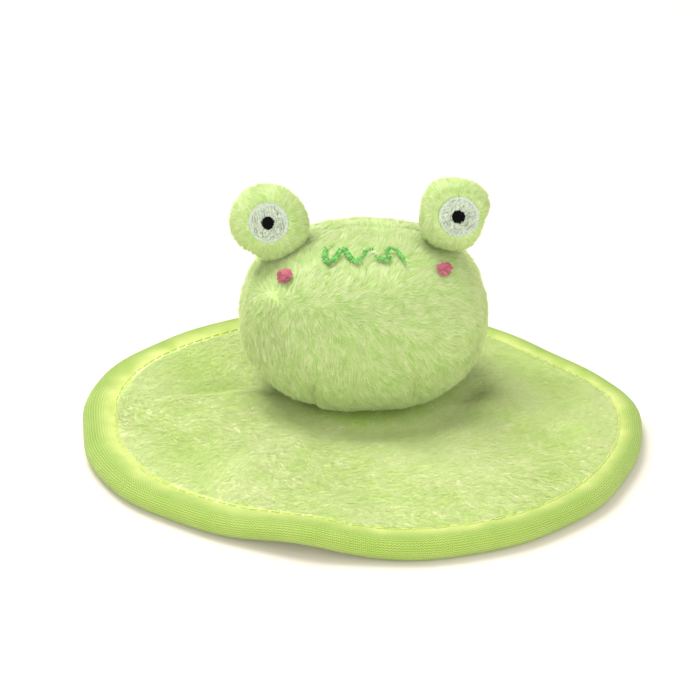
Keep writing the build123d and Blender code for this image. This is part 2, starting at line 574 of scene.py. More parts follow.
@dataclass
class Nodes:
    """A node tree with short ways to add and link its nodes."""

    tree: bpy.types.NodeTree

    def add(self, kind: str, **settings: object) -> bpy.types.Node:
        """Adds a node.

        Args:
            kind: The node's type name, without its ShaderNode prefix.
            **settings: The node's own properties.

        Returns:
            The node.
        """
        node = self.tree.nodes.new(kind if kind.startswith("Node") else "ShaderNode" + kind)
        for name, value in settings.items():
            setattr(node, name, value)
        return node

    def feed(self, source: object, socket: bpy.types.NodeSocket) -> None:
        """Links an output to a socket, or sets the socket to a plain value."""
        if isinstance(source, bpy.types.NodeSocket):
            self.tree.links.new(source, socket)
        else:
            socket.default_value = source

    def math(self, operation: str, *values: object) -> bpy.types.NodeSocket:
        """Adds a math node.

        Args:
            operation: The operation's name.
            *values: Its inputs, as outputs or numbers.

        Returns:
            Its output.
        """
        node = self.add("Math", operation=operation)
        for value, socket in zip(values, node.inputs):
            self.feed(value, socket)
        return node.outputs[0]

    def clamp(self, value: object) -> bpy.types.NodeSocket:
        """Keeps a value between 0 and 1."""
        return self.math("MINIMUM", self.math("MAXIMUM", value, 0.0), 1.0)

    def mix(self, share: object, first: object, second: object, blend: str = "MIX") -> bpy.types.NodeSocket:
        """Adds a colour mix.

        Args:
            share: How much of the second colour.
            first: The colour at 0.
            second: The colour at 1.
            blend: How they are combined.

        Returns:
            The mixed colour.
        """
        node = self.add("Mix", data_type="RGBA", blend_type=blend)
        self.feed(share, node.inputs[0])
        self.feed(first, node.inputs[6])
        self.feed(second, node.inputs[7])
        return node.outputs[2]

    def noise(self, vector: object, scale: float, detail: float = 2.0) -> bpy.types.NodeSocket:
        """Adds a noise texture and gives its value.

        Args:
            vector: Where it is read.
            scale: Its scale, per metre on Object coordinates.
            detail: Its octaves.

        Returns:
            The value, about 0.3 to 0.7.
        """
        node = self.add("TexNoise")
        self.feed(vector, node.inputs["Vector"])
        self.feed(scale, node.inputs["Scale"])
        self.feed(detail, node.inputs["Detail"])
        return node.outputs["Fac"]


def start_group(name: str, inputs: dict[str, str], outputs: dict[str, str]) -> tuple[Nodes, dict, dict]:
    """Starts a shader node group with named sockets.

    Args:
        name: The group's name.
        inputs: Each input's name and socket type, without its NodeSocket prefix.
        outputs: Each output's name and socket type.

    Returns:
        Its nodes, its inputs by name as outputs to link from, and its outputs by name to link to.
    """
    tree = bpy.data.node_groups.new(name, "ShaderNodeTree")
    for label, kind in inputs.items():
        tree.interface.new_socket(label, in_out="INPUT", socket_type="NodeSocket" + kind)
    for label, kind in outputs.items():
        tree.interface.new_socket(label, in_out="OUTPUT", socket_type="NodeSocket" + kind)
    nodes = Nodes(tree)
    into, out = nodes.add("NodeGroupInput"), nodes.add("NodeGroupOutput")
    return nodes, {s.name: s for s in into.outputs if s.name}, {s.name: s for s in out.inputs if s.name}


def fibre_group() -> bpy.types.NodeTree:
    """Builds the colour of pile: dark at the root, which is painted shade deep in the pile, pale at the tip,
    and shifting from lock to lock.
    """
    nodes, given, made = start_group(
        "pile_fibre",
        {"Tone": "Float", "Tip": "Float", "Root": "Color", "Shade": "Color", "Light": "Color",
         "Vector": "Vector"},
        {"Color": "Color"},
    )
    patch = nodes.noise(given["Vector"], 55.0, 2.0)
    patchy = nodes.math("MULTIPLY_ADD", patch, 0.3, -0.15)
    level = nodes.math("ADD", given["Tone"], patchy)
    body = nodes.mix(nodes.clamp(level), given["Shade"], given["Light"])
    # Painted shade: towards the root the colour darkens to the root colour, as where fibres shade each other
    # deep in the pile.
    climb = nodes.math("POWER", given["Tip"], 0.55)
    nodes.feed(nodes.mix(climb, given["Root"], body), made["Color"])
    return nodes.tree


def rib_group() -> bpy.types.NodeTree:
    """Builds the zigzag ribs of twill tape on a map in millimetres, as a height and a groove mask; the tape
    paints shade into the grooves with the mask.
    """
    nodes, given, made = start_group(
        "twill_rib",
        {"Vector": "Vector", "Along": "Float", "Across": "Float", "Zigzag": "Float"},
        {"Height": "Float", "Groove": "Float"},
    )
    parts = nodes.add("SeparateXYZ")
    nodes.feed(given["Vector"], parts.inputs[0])
    swing = nodes.math("PINGPONG", nodes.math("DIVIDE", parts.outputs[0], given["Zigzag"]), 0.5)
    slant = nodes.math("ADD", nodes.math("DIVIDE", parts.outputs[1], given["Across"]), swing)
    ribs = nodes.math("SINE", nodes.math("MULTIPLY", slant, 2 * math.pi))
    yarns = nodes.math("SINE", nodes.math("MULTIPLY", nodes.math("DIVIDE", parts.outputs[0], given["Along"]),
                                          2 * math.pi))
    both = nodes.math("MULTIPLY_ADD", yarns, 0.35, ribs)
    nodes.feed(nodes.math("MULTIPLY_ADD", both, 0.37, 0.5), made["Height"])
    groove = nodes.math("MULTIPLY_ADD", both, -0.6, 0.2)
    nodes.feed(nodes.math("SMOOTH_MIN", groove, 1.0, 0.2), made["Groove"])
    return nodes.tree


def weave_group() -> bpy.types.NodeTree:
    """Builds a plain weave of round yarns as a height and a gap mask; the cloth paints shade into the gaps
    with the mask.
    """
    nodes, given, made = start_group(
        "plain_weave", {"Vector": "Vector", "Pitch": "Float"}, {"Height": "Float", "Gap": "Float"}
    )
    parts = nodes.add("SeparateXYZ")
    nodes.feed(given["Vector"], parts.inputs[0])
    waves = []
    for axis in range(2):
        turns = nodes.math("DIVIDE", parts.outputs[axis], given["Pitch"])
        waves.append(nodes.math("SINE", nodes.math("MULTIPLY", turns, math.pi)))
    check = nodes.math("MULTIPLY", waves[0], waves[1])
    lift = nodes.math("ABSOLUTE", check)
    nodes.feed(lift, made["Height"])
    nodes.feed(nodes.math("SUBTRACT", 1.0, nodes.math("MULTIPLY", lift, 3.0)), made["Gap"])
    return nodes.tree


def mottle_group() -> bpy.types.NodeTree:
    """Builds a soft uneven shift between two colours, and a fine fuzz height."""
    nodes, given, made = start_group(
        "cloth_mottle",
        {"Vector": "Vector", "Scale": "Float", "First": "Color", "Second": "Color"},
        {"Color": "Color", "Fuzz": "Float"},
    )
    share = nodes.math("MULTIPLY_ADD", nodes.noise(given["Vector"], given["Scale"]), 2.4, -0.7)
    nodes.feed(nodes.mix(nodes.clamp(share), given["First"], given["Second"]), made["Color"])
    nodes.feed(nodes.noise(given["Vector"], 5200.0, 1.0), made["Fuzz"])
    return nodes.tree


GROUPS = {"fibre": fibre_group(), "rib": rib_group(), "weave": weave_group(), "mottle": mottle_group()}


@dataclass
class Shade:
    """A new material: its nodes, its shader and its name."""

    name: str
    nodes: Nodes = field(init=False)
    shader: bpy.types.Node = field(init=False)
    material: bpy.types.Material = field(init=False)

    def __post_init__(self) -> None:
        """Adds the material and finds its shader."""
        self.material = bpy.data.materials.new(self.name)
        self.material.use_nodes = True
        self.nodes = Nodes(self.material.node_tree)
        self.shader = self.material.node_tree.nodes["Principled BSDF"]

    def group(self, key: str, **given: object) -> bpy.types.Node:
        """Places a shared group.

        Args:
            key: The group's key.
            **given: Its inputs, by their names.

        Returns:
            The group's node.
        """
        node = self.nodes.add("Group")
        node.node_tree = GROUPS[key]
        for label, value in given.items():
            self.nodes.feed(value, node.inputs[label])
        return node

    def set(self, **values: object) -> None:
        """Sets the shader's own sockets, with _ for a space in their names."""
        for label, value in values.items():
            self.nodes.feed(value, self.shader.inputs[label.replace("_", " ")])

    def place(self) -> bpy.types.NodeSocket:
        """Object coordinates."""
        return self.nodes.add("TexCoord").outputs["Object"]

    def map(self) -> bpy.types.NodeSocket:
        """The piece's own map."""
        return self.nodes.add("UVMap", uv_map="cloth").outputs["UV"]

    def attribute(self, name: str) -> bpy.types.NodeSocket:
        """A number stored on the piece's points."""
        return self.nodes.add("Attribute", attribute_name=name).outputs["Fac"]

    def bump(self, height: object, depth: float, strength: float = 1.0) -> None:
        """Turns a height into the surface's normal.

        Args:
            height: The height, 0 to 1.
            depth: How deep that is, in millimetres.
            strength: How much of it shows.
        """
        node = self.nodes.add("Bump")
        node.inputs["Strength"].default_value = strength
        node.inputs["Distance"].default_value = depth * MM
        self.nodes.feed(height, node.inputs["Height"])
        self.nodes.feed(node.outputs[0], self.shader.inputs["Normal"])


@dataclass(frozen=True)
class PlushFinish:
    """Short soft pile, as single fibres and as the knitted ground that they grow from."""

    name: str
    # The root colour is painted shade: the darkening deep in the pile.
    root: Colour
    shade: Colour
    light: Colour
    sheen: float = 0.25

    def fibres(self) -> bpy.types.Material:
        """Makes the material of the fibres themselves."""
        made = Shade(self.name + "_pile")
        pile = made.group("fibre", Tone=made.attribute("tone"), Tip=made.attribute("tip"), Root=self.root,
                          Shade=self.shade, Light=self.light, Vector=made.place())
        made.set(Base_Color=pile.outputs["Color"], Roughness=0.72, Specular_IOR_Level=0.25,
                 Sheen_Weight=self.sheen, Sheen_Roughness=0.45, Sheen_Tint=self.light)
        return made.material

    def ground(self) -> bpy.types.Material:
        """Makes the material of the cloth under the fibres."""
        made = Shade(self.name + "_ground")
        mottle = made.group("mottle", Vector=made.place(), Scale=140.0, First=self.shade, Second=self.light)
        made.set(Base_Color=mottle.outputs["Color"], Roughness=0.9, Specular_IOR_Level=0.15)
        made.bump(mottle.outputs["Fuzz"], 0.25)
        return made.material


@dataclass(frozen=True)
class TwillFinish:
    """Fine tape with zigzag ribs, smoother on its lips than on its fold, with painted shade on its fold and in
    its grooves.
    """

    name: str
    smooth: Colour
    ribbed_and_shaded: Colour
    # The groove colour is painted shade down in the rib grooves.
    groove: Colour

    def material(self) -> bpy.types.Material:
        """Makes the tape's material, on its map in millimetres and its fold attribute."""
        made = Shade(self.name)
        nodes = made.nodes
        rib = made.group("rib", Vector=made.map(), Along=0.6, Across=0.8, Zigzag=1.3)
        fold = made.attribute("fold")
        mottle = made.group("mottle", Vector=made.place(), Scale=90.0, First=self.smooth, Second=self.ribbed_and_shaded)
        # Painted shade on the tape's outer side: the fold is darkened towards the fold's darker colour, which
        # also serves the random mottle.
        base = nodes.mix(nodes.math("MULTIPLY", fold, 0.75), mottle.outputs["Color"], self.ribbed_and_shaded)
        # Painted shade in the rib grooves, deeper on the fold.
        depth = nodes.math("MULTIPLY", rib.outputs["Groove"], nodes.math("MULTIPLY_ADD", fold, 0.9, 0.15))
        depth = nodes.math("MAXIMUM", depth, 0.0)
        made.set(Base_Color=nodes.mix(depth, base, self.groove), Roughness=0.62, Specular_IOR_Level=0.3,
                 Sheen_Weight=0.12, Sheen_Roughness=0.5)
        relief = nodes.math("MULTIPLY", rib.outputs["Height"], nodes.math("MULTIPLY_ADD", fold, 0.8, 0.2))
        made.bump(relief, 0.26)
        return made.material


@dataclass(frozen=True)
class WovenFinish:
    """Thin plain-woven or knitted cloth: the backing and the lining."""

    name: str
    first: Colour
    second: Colour
    pitch: float
    depth: float = 0.12
    mapped: bool = False

    def material(self) -> bpy.types.Material:
        """Makes the cloth's material."""
        made = Shade(self.name)
        nodes = made.nodes
        where = made.map() if self.mapped else made.place()
        weave = made.group("weave", Vector=where, Pitch=self.pitch if self.mapped else self.pitch * MM)
        mottle = made.group("mottle", Vector=made.place(), Scale=120.0, First=self.first, Second=self.second)
        # Painted shade between the yarns: the gaps are darkened towards a near-black green.
        gap = nodes.clamp(weave.outputs["Gap"])
        dark = nodes.mix(nodes.math("MULTIPLY", gap, 0.35), mottle.outputs["Color"], (0.05, 0.1, 0.02, 1.0))
        made.set(Base_Color=dark, Roughness=0.8, Specular_IOR_Level=0.2, Sheen_Weight=0.1,
                 Sheen_Roughness=0.5)
        made.bump(weave.outputs["Height"], self.depth)
        return made.material


@dataclass(frozen=True)
class ThreadFinish:
    """Twisted thread whose stitches differ a little in tone, with painted shade and highlight along its twist.
    """

    name: str
    dark: Colour
    light: Colour
    roughness: float = 0.4
    sheen: float = 0.1
    metal: float = 0.0
    specks: float = 0.0
    shine: float = 0.5

    def material(self) -> bpy.types.Material:
        """Makes the thread's material, on the stitches' own map and tone."""
        made = Shade(self.name)
        nodes = made.nodes
        parts = nodes.add("SeparateXYZ")
        nodes.feed(made.map(), parts.inputs[0])
        # Painted shade and highlight along the twist: slanting stripes run lighter and darker, on top of each
        # stitch's random tone.
        turn = nodes.math("ADD", parts.outputs[1], nodes.math("MULTIPLY", parts.outputs[0], 2.2))
        wave = nodes.math("SINE", nodes.math("MULTIPLY", turn, 2 * math.pi))
        twist = nodes.math("MULTIPLY_ADD", wave, 0.5, 0.5)
        tone = nodes.math("MULTIPLY_ADD", twist, 0.22, nodes.math("MULTIPLY", made.attribute("tone"), 0.85))
        body = nodes.mix(tone, self.dark, self.light)
        if self.specks:
            noise = nodes.noise(made.place(), 2600.0, 1.0)
            spot = nodes.math("MULTIPLY", nodes.math("GREATER_THAN", noise, 0.66), self.specks)
            body = nodes.mix(spot, body, self.dark)
        made.set(Base_Color=body, Roughness=self.roughness, Metallic=self.metal,
                 Specular_IOR_Level=self.shine, Sheen_Weight=self.sheen, Sheen_Roughness=0.4)
        made.bump(twist, 0.05)
        return made.material


@dataclass(frozen=True)
class FillingFinish:
    """Loose polyester fibre or padding, hidden inside the skins."""

    name: str
    first: Colour = colour(240, 240, 236)
    second: Colour = colour(214, 216, 208)

    def material(self) -> bpy.types.Material:
        """Makes the filling's material."""
        made = Shade(self.name)
        mottle = made.group("mottle", Vector=made.place(), Scale=420.0, First=self.first, Second=self.second)
        made.set(Base_Color=mottle.outputs["Color"], Roughness=0.95, Specular_IOR_Level=0.1, Sheen_Weight=0.3)
        made.bump(mottle.outputs["Fuzz"], 0.6)
        return made.material


# Each plush's first colour darkens the fibres' roots as painted shade deep in the pile.
HEAD_PLUSH = PlushFinish("head_plush", colour(124, 188, 66), colour(178, 210, 116), colour(234, 238, 184))
MAT_PLUSH = PlushFinish("mat_plush", colour(150, 204, 74), colour(184, 214, 104), colour(234, 234, 182), 0.2)
# The tape's second colour is its random mottle and the painted shade on its fold; its third is painted shade
# in the grooves.
TAPE = TwillFinish("lime_tape", colour(214, 219, 130), colour(164, 188, 84), colour(100, 148, 42))
BACKING = WovenFinish("backing_cloth", colour(196, 218, 122), colour(184, 208, 108), 0.45)
LINING = WovenFinish("lining_cloth", colour(190, 214, 128), colour(176, 202, 112), 0.5, mapped=True)
BINDING_THREAD = ThreadFinish("binding_thread", colour(168, 192, 66), colour(214, 226, 116), 0.4, 0.1)
SEWING_THREAD = ThreadFinish("sewing_thread", colour(118, 172, 60), colour(168, 208, 96))
MOUTH_THREAD = ThreadFinish("mouth_thread", colour(34, 120, 28), colour(116, 202, 84), 0.36, 0.15, 0.0, 0.5)
CHEEK_THREAD = ThreadFinish("cheek_thread", colour(126, 36, 60), colour(204, 104, 124), 0.36, 0.2)
WHITE_THREAD = ThreadFinish("silver_thread", colour(104, 116, 94), colour(198, 208, 186), 0.3, 0.15, 0.1, 0.6)
PUPIL_THREAD = ThreadFinish("black_thread", colour(2, 2, 2), colour(8, 8, 7), 0.8, 0.0, shine=0.08)


@dataclass
class Wardrobe:
    """Every finish's material, made once and shared by the pieces."""

    made: dict[str, bpy.types.Material] = field(default_factory=dict)

    def take(self, finish: object, kind: str = "material") -> bpy.types.Material:
        """Gives a finish's material.

        Args:
            finish: The finish.
            kind: Which of its materials.

        Returns:
            The material, the same one each time.
        """
        key = f"{finish.name}/{kind}"
        if key not in self.made:
            self.made[key] = getattr(finish, kind)()
        return self.made[key]


WARDROBE = Wardrobe()


def dress(piece: bpy.types.Object, body: str, slot: str, material: bpy.types.Material,
          *stands_for: str) -> None:
    """Gives a finished piece its material and its body, and hides the CAD nodes that it stands for.

    Args:
        piece: The finished mesh.
        body: The CAD body that it rides on.
        slot: Not used.
        material: Its material.
        *stands_for: The CAD nodes that it replaces.
    """
    piece.data.materials.clear()
    piece.data.materials.append(material)
    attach(piece, body)
    if stands_for:
        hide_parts(*stands_for)
    LOG.info("%s rides on %s, %d faces", piece.name, body, len(piece.data.polygons))


# ---- Pile ----

@dataclass(frozen=True)
class Pile:
    """How pile grows: its fibres' size, how far they stand off the cloth, and how they gather in locks."""

    length: float
    width: float
    rise: float
    lock: float
    gather: float
    stray: float
    seed: int
    spread: float = 1.0
    unruly: float = 4.0
    sunk: float = 0.25

    def grow(self, name: str, cloth: Surface, count: int, comb: Field,
             bare: Field | None = None, painted_shade: Field | None = None) -> bpy.types.Object:
        """Grows closed tapering fibres on a surface.

        Args:
            name: The piece's name.
            cloth: The surface that they grow from.
            count: How many fibres are tried.
            comb: Gives the direction that the pile is brushed in at each place.
            bare: Says where nothing grows, as under stitches.
            painted_shade: Gives how much each place shifts between the finish's light and its shade.

        Returns:
            The piece.
        """
        rng = np.random.default_rng(self.seed)
        roots, normals = cloth.scatter(count, rng)
        if bare is not None:
            kept = ~bare(roots)
            roots, normals = roots[kept], normals[kept]
        total = len(roots)
        locks, lock_normals = cloth.scatter(max(8, int(self.lock_count(cloth))), rng)
        tree = KDTree(len(locks))
        for index, place in enumerate(locks):
            tree.insert(place, index)
        tree.balance()
        nearest = np.array([tree.find(root)[1] for root in roots])
        brushed = across(comb(roots) + rng.normal(0.0, self.stray, (total, 3)), normals)
        rise = self.rise + rng.normal(0.0, self.unruly, total)
        rise = rise + self.unruly * rng.normal(size=len(locks))[nearest]
        rise = np.clip(np.radians(rise), math.radians(5), math.radians(75))[:, None]
        axis = unit(brushed * np.cos(rise) + normals * np.sin(rise))
        length = (self.length * rng.uniform(0.7, 1.15, total))[:, None]
        tips = roots + axis * length
        lock_axis = across(comb(locks), lock_normals) * math.cos(math.radians(self.rise))
        lock_axis += lock_normals * math.sin(math.radians(self.rise))
        lock_tips = locks + unit(lock_axis) * self.length
        pull = (self.gather * rng.uniform(0.4, 1.0, total))[:, None]
        tips += (lock_tips[nearest] - tips) * pull
        side = unit(np.cross(normals, axis))
        half = (self.width * rng.uniform(0.35, 0.65, total))[:, None]
        foot = roots - normals * self.sunk
        corners = np.stack([foot - side * half, foot + side * half, foot + normals * half * 1.1, tips], axis=1)
        base = np.array([[0, 2, 1], [0, 1, 3], [1, 2, 3], [2, 0, 3]])
        faces = (np.arange(total)[:, None, None] * 4 + base[None]).reshape(-1, 3)
        piece = new_piece(name, corners.reshape(-1, 3), faces)
        leaning = [normals - side * 0.55, normals + side * 0.55, normals, normals + brushed * 0.25]
        soft = unit(np.stack(leaning, axis=1)).reshape(-1, 3)
        piece.data.normals_split_custom_set_from_vertices(soft)
        tone = 0.13 * rng.normal(size=len(locks))[nearest] + 0.21 * rng.normal(size=total)
        level = 0.5 + self.spread * tone
        # Painted shade: the caller's field darkens the tone where shade falls on the cloth.
        if painted_shade is not None:
            level += painted_shade(roots)
        set_attribute(piece, "tone", np.repeat(np.clip(level, 0.0, 1.0), 4))
        # How far each corner lies towards the tip; low values take the root colour's painted shade.
        set_attribute(piece, "tip", np.tile([0.12, 0.12, 0.3, 1.0], total))
        return piece

    def lock_count(self, cloth: Surface) -> float:
        """How many locks the surface holds."""
        return float(cloth.areas().sum() / self.lock ** 2)


# ---- Stitches ----

@dataclass
class StitchMaker:
    """One stitch, modelled once along X from -0.5 to 0.5 with radius 1, and laid many times."""

    sides: int = 6
    points: np.ndarray = field(init=False)
    faces: list[list[int]] = field(init=False)

    def __post_init__(self) -> None:
        """Models the stitch: a short round bar whose ends are drawn in to the holes."""
        bpy.ops.object.select_all(action="DESELECT")
        bpy.ops.mesh.primitive_cylinder_add(vertices=self.sides, radius=1.0, depth=0.6,
                                            rotation=(0, math.pi / 2, 0))
        bar = fresh("stitch_master")
        bpy.ops.object.transform_apply(location=True, rotation=True, scale=True)
        for end in (-1, 1):
            bpy.ops.object.mode_set(mode="EDIT")
            bpy.ops.mesh.select_mode(type="FACE")
            bpy.ops.mesh.select_all(action="DESELECT")
            bpy.ops.object.mode_set(mode="OBJECT")
            for polygon in bar.data.polygons:
                polygon.select = polygon.normal.x * end > 0.9
            bpy.ops.object.mode_set(mode="EDIT")
            bpy.ops.mesh.extrude_region_move(TRANSFORM_OT_translate={"value": (end * 0.14, 0, 0)})
            bpy.ops.transform.resize(value=(1, 0.8, 0.8))
            bpy.ops.mesh.extrude_region_move(TRANSFORM_OT_translate={"value": (end * 0.06, 0, -0.3)})
            bpy.ops.transform.resize(value=(1, 0.4, 0.4))
            bpy.ops.object.mode_set(mode="OBJECT")
        flat = np.zeros(len(bar.data.vertices) * 3, np.float32)
        bar.data.vertices.foreach_get("co", flat)
        self.points = flat.reshape(-1, 3).astype(float)
        self.faces = [list(polygon.vertices) for polygon in bar.data.polygons]
        bpy.data.objects.remove(bar)

    def lay(self, name: str, places: np.ndarray, along: np.ndarray, up: np.ndarray, length: np.ndarray,
            radius: np.ndarray, tone: np.ndarray, arch: float = 0.3) -> bpy.types.Object:
        """Lays copies of the stitch as one piece.

        Args:
            name: The piece's name.
            places: The middle of each stitch.
            along: The direction of each.
            up: The direction off the cloth at each.
            length: Each one's length.
            radius: Each one's half thickness.
            tone: Each one's place between the thread's dark and light.
            arch: How far a stitch bows off the cloth, in its radii.

        Returns:
            The piece.
        """
        along, up = unit(along), unit(up)
        side = unit(np.cross(up, along))
        up = np.cross(along, side)
        x, y, z = self.points.T
        lift = z + arch * (1 - (2 * x) ** 2)
        count, size = len(places), len(self.points)
        length = np.broadcast_to(length, count)[:, None, None]
        radius = np.broadcast_to(radius, count)[:, None, None]
        all_points = places[:, None, :] + along[:, None, :] * x[None, :, None] * length
        all_points = all_points + side[:, None, :] * y[None, :, None] * radius
        all_points = all_points + up[:, None, :] * lift[None, :, None] * radius
        faces = [[corner + copy * size for corner in face] for copy in range(count) for face in self.faces]
        piece = new_piece(name, all_points.reshape(-1, 3), faces)
        round_share = np.arctan2(z, y) / (2 * math.pi)
        corner_ids = np.concatenate([np.array(face) for face in self.faces])
        turns = (x[corner_ids][None] * length[:, :, 0] / (radius[:, :, 0] * 2 * math.pi))
        uv = np.stack([turns, np.broadcast_to(round_share[corner_ids], turns.shape)], axis=2)
        set_uv(piece, uv.reshape(-1, 2))
        set_attribute(piece, "tone", np.repeat(np.broadcast_to(tone, count), size))
        return piece


STITCHES = StitchMaker()


def slanted(degrees: float) -> tuple[np.ndarray, np.ndarray]:
    """Gives the flat direction at that slant, and the one square to it."""
    slant = math.radians(degrees)
    return np.array([math.cos(slant), math.sin(slant)]), np.array([-math.sin(slant), math.cos(slant)])


def level_and_upright(normals: np.ndarray) -> tuple[np.ndarray, np.ndarray]:
    """Gives the level and the steepest direction along a surface at each normal."""
    axes = (np.tile(axis, (len(normals), 1)) for axis in ([1.0, 0.0, 0.0], [0.0, 0.0, 1.0]))
    level, upright = (across(axis, normals) for axis in axes)
    return level, upright


def smooth_path(points: tuple[tuple[float, float], ...], steps: int = 12) -> np.ndarray:
    """Runs a smooth line through a few points.

    Args:
        points: The points, in order.
        steps: How many short runs between two of them.

    Returns:
        The points of the line.
    """
    knots = np.array([points[0], *points, points[-1]], float)
    line = []
    for before, start, end, after in zip(knots, knots[1:], knots[2:], knots[3:]):
        for share in np.linspace(0, 1, steps, endpoint=False):
            bend = 2 * before - 5 * start + 4 * end - after
            twist = 3 * start - before - 3 * end + after
            line.append(0.5 * (2 * start + (end - before) * share + bend * share ** 2 + twist * share ** 3))
    line.append(knots[-1])
    return np.array(line)


def walk(path: np.ndarray, pitch: float) -> tuple[np.ndarray, np.ndarray]:
    """Steps along a line at an even pitch.

    Args:
        path: The line's points.
        pitch: The distance between steps.

    Returns:
        The places and the directions there.
    """
    travelled = lengths_along(path)
    stops = np.arange(pitch / 2, travelled[-1], pitch)
    behind, places, ahead = (
        np.stack([np.interp(stops + step, travelled, values) for values in path.T], axis=1)
        for step in (-0.05, 0.0, 0.05)
    )
    return places, unit(ahead - behind)


# ---- The mat ----

@dataclass
class Mat:
    """The padded oval mat: plush top with its pile, padding, backing, folded tape and topstitching."""

    half: np.ndarray = field(default_factory=lambda: cad_box("edge_binding")[1][:2])
    neck: np.ndarray = field(default_factory=lambda: cad_middle("neck_sleeve")[:2])
    hole: float = 17.7
    shift: float = -0.4
    bulges: tuple[tuple[float, float, float], ...] = (
        (150.0, 24.0, 2.4), (40.0, 27.0, -8.8), (-116.0, 27.0, -4.0), (-62.0, 20.0, 2.2))
    folds: tuple[tuple[tuple[float, float], tuple[float, float], float, float], ...] = (
        ((-38.0, 10.0), (-84.0, -3.0), 2.3, 5.0), ((-24.0, -28.0), (-48.0, -56.0), 2.2, 7.0),
        ((-42.0, -14.0), (-74.0, -34.0), -1.6, 8.0), ((42.0, 2.0), (78.0, -14.0), 1.5, 7.0),
        ((12.0, -34.0), (34.0, -62.0), 1.4, 7.0))
    tuck: float = 5.0
    lip: float = 10.8
    lopsided: float = 0.16
    rim_height: float = 8.0
    tape: float = 0.8
    skin: float = 1.1
    spokes: int = 300
    rings: int = 56
    stations: int = 720
    pile: Pile = Pile(length=2.2, width=0.26, rise=14.0, lock=1.2, gather=0.2, stray=0.3, seed=11,
                      spread=0.6)
    fibres: int = 41000

    def outline(self, turns: np.ndarray, inset: float) -> np.ndarray:
        """Follows the mat's edge, moved in by some millimetres.

        Args:
            turns: Angles round the mat's middle.
            inset: How far in.

        Returns:
            Places in X and Y.
        """
        unevenness = 0.35 * np.sin(7 * turns + 0.6)
        inset = inset * (1.0 - self.lopsided * np.cos(turns))
        for middle, width, size in self.bulges:
            gap = np.degrees(np.angle(np.exp(1j * (turns - math.radians(middle)))))
            unevenness = unevenness + size * bell(gap, width)
        across_x = (self.half[0] - inset + unevenness) * np.cos(turns) + self.shift
        across_y = (self.half[1] - inset + unevenness) * np.sin(turns)
        return np.stack([across_x, across_y], axis=1)

    def inside(self, points: np.ndarray) -> np.ndarray:
        """Measures how far in from the edge places lie.

        Args:
            points: Places in X and Y.

        Returns:
            The outline's inset at each.
        """
        turns = np.arctan2(points[:, 1] / self.half[1], (points[:, 0] - self.shift) / self.half[0])
        edge = self.outline(turns, 0.0)
        middle = np.array([self.shift, 0.0])
        gap = np.linalg.norm(edge - middle, axis=1) - np.linalg.norm(points[:, :2] - middle, axis=1)
        return gap / (1.0 - self.lopsided * np.cos(turns))

    def lift(self, points: np.ndarray) -> np.ndarray:
        """How far the mat's edge ripples up off the table."""
        front = ease(-52.0, -84.0, points[:, 1])
        return 3.3 * bell(points[:, 0] + 21.0, 18.0) * front

    def top(self, points: np.ndarray) -> np.ndarray:
        """The height of the pile's tips over the mat, before the edge's ripple.

        Args:
            points: Places in X and Y.

        Returns:
            The height at each.
        """
        away = np.hypot(points[:, 0] - self.neck[0], points[:, 1] - self.neck[1])
        inside = self.inside(points)
        height = 8.7 - 1.0 * ease(25.0, 42.0, away)
        height += 1.8 * ease(self.lip - 1.0, 26.0, inside) * ease(34.0, 50.0, away)
        folds = -2.2 * bell(np.hypot(points[:, 0] + 46.0, points[:, 1] - 24.0), 9.0)
        for start, end, size, width in self.folds:
            folds += size * bell(distance_to_line(points, start, end), width)
        height += folds * ease(self.lip + 1.0, self.lip + 16.0, inside)
        solid = np.column_stack([points, np.zeros(len(points))])
        loose = ease(self.lip, 24.0, inside) * ease(28.0, 44.0, away)
        height += (0.6 * Swell(42.0, 3).at(solid) + 0.3 * Swell(17.0, 4).at(solid)) * loose
        return height

    def grid(self, inset: float, hole: float, spokes: int, rings: int) -> np.ndarray:
        """Spreads points over the mat in rings, from the neck's hole to its edge.

        Args:
            inset: How far in from the edge the last ring lies.
            hole: The first ring's radius.
            spokes: Points in each ring.
            rings: How many rings.

        Returns:
            Places in X and Y.
        """
        turns = full_turn(spokes)
        edge = self.outline(turns, inset)
        inner = self.neck + hole * unit(edge - self.neck)
        shares = np.linspace(0, 1, rings)[:, None, None]
        return (inner[None] * (1 - shares) + edge[None] * shares).reshape(-1, 2)

    def raised(self, flat: np.ndarray, height: np.ndarray) -> np.ndarray:
        """Gives places their height and the edge's ripple."""
        return np.column_stack([flat, height + self.lift(flat)])

    def top_cloth(self) -> Surface:
        """The ground of the plush top, which the pile grows from."""
        flat = self.grid(self.tuck, self.hole, self.spokes, self.rings)
        quads = ring_faces(self.rings, self.spokes)[:, ::-1]
        points = self.raised(flat, self.top(flat) - self.pile.length * 0.25)
        triangles = np.concatenate([quads[:, [0, 1, 2]], quads[:, [0, 2, 3]]])
        return Surface(points, triangles)

    def comb(self, places: np.ndarray) -> np.ndarray:
        """The pile lies sideways across the mat, in soft swirls."""
        swirl = np.radians(26.0 * Swell(58.0, 21).at(places) + 16.0 * Swell(19.0, 22).at(places) - 6.0)
        return np.column_stack([np.cos(swirl), np.sin(swirl), np.zeros(len(places))])

    def painted_shade(self, places: np.ndarray) -> np.ndarray:
        """Paints shade into the pile's tone: darker round the neck, where the head shades the mat, and in the
        mat's hollows.

        Args:
            places: Places on the mat.

        Returns:
            How far each shifts towards the pile's light.
        """
        away = np.hypot(places[:, 0] - self.neck[0], places[:, 1] - self.neck[1])
        flat = places * np.array([1.0, 1.0, 0.0])
        return 0.14 * Swell(42.0, 3).at(flat) - 0.4 * ease(36.0, 22.0, away)

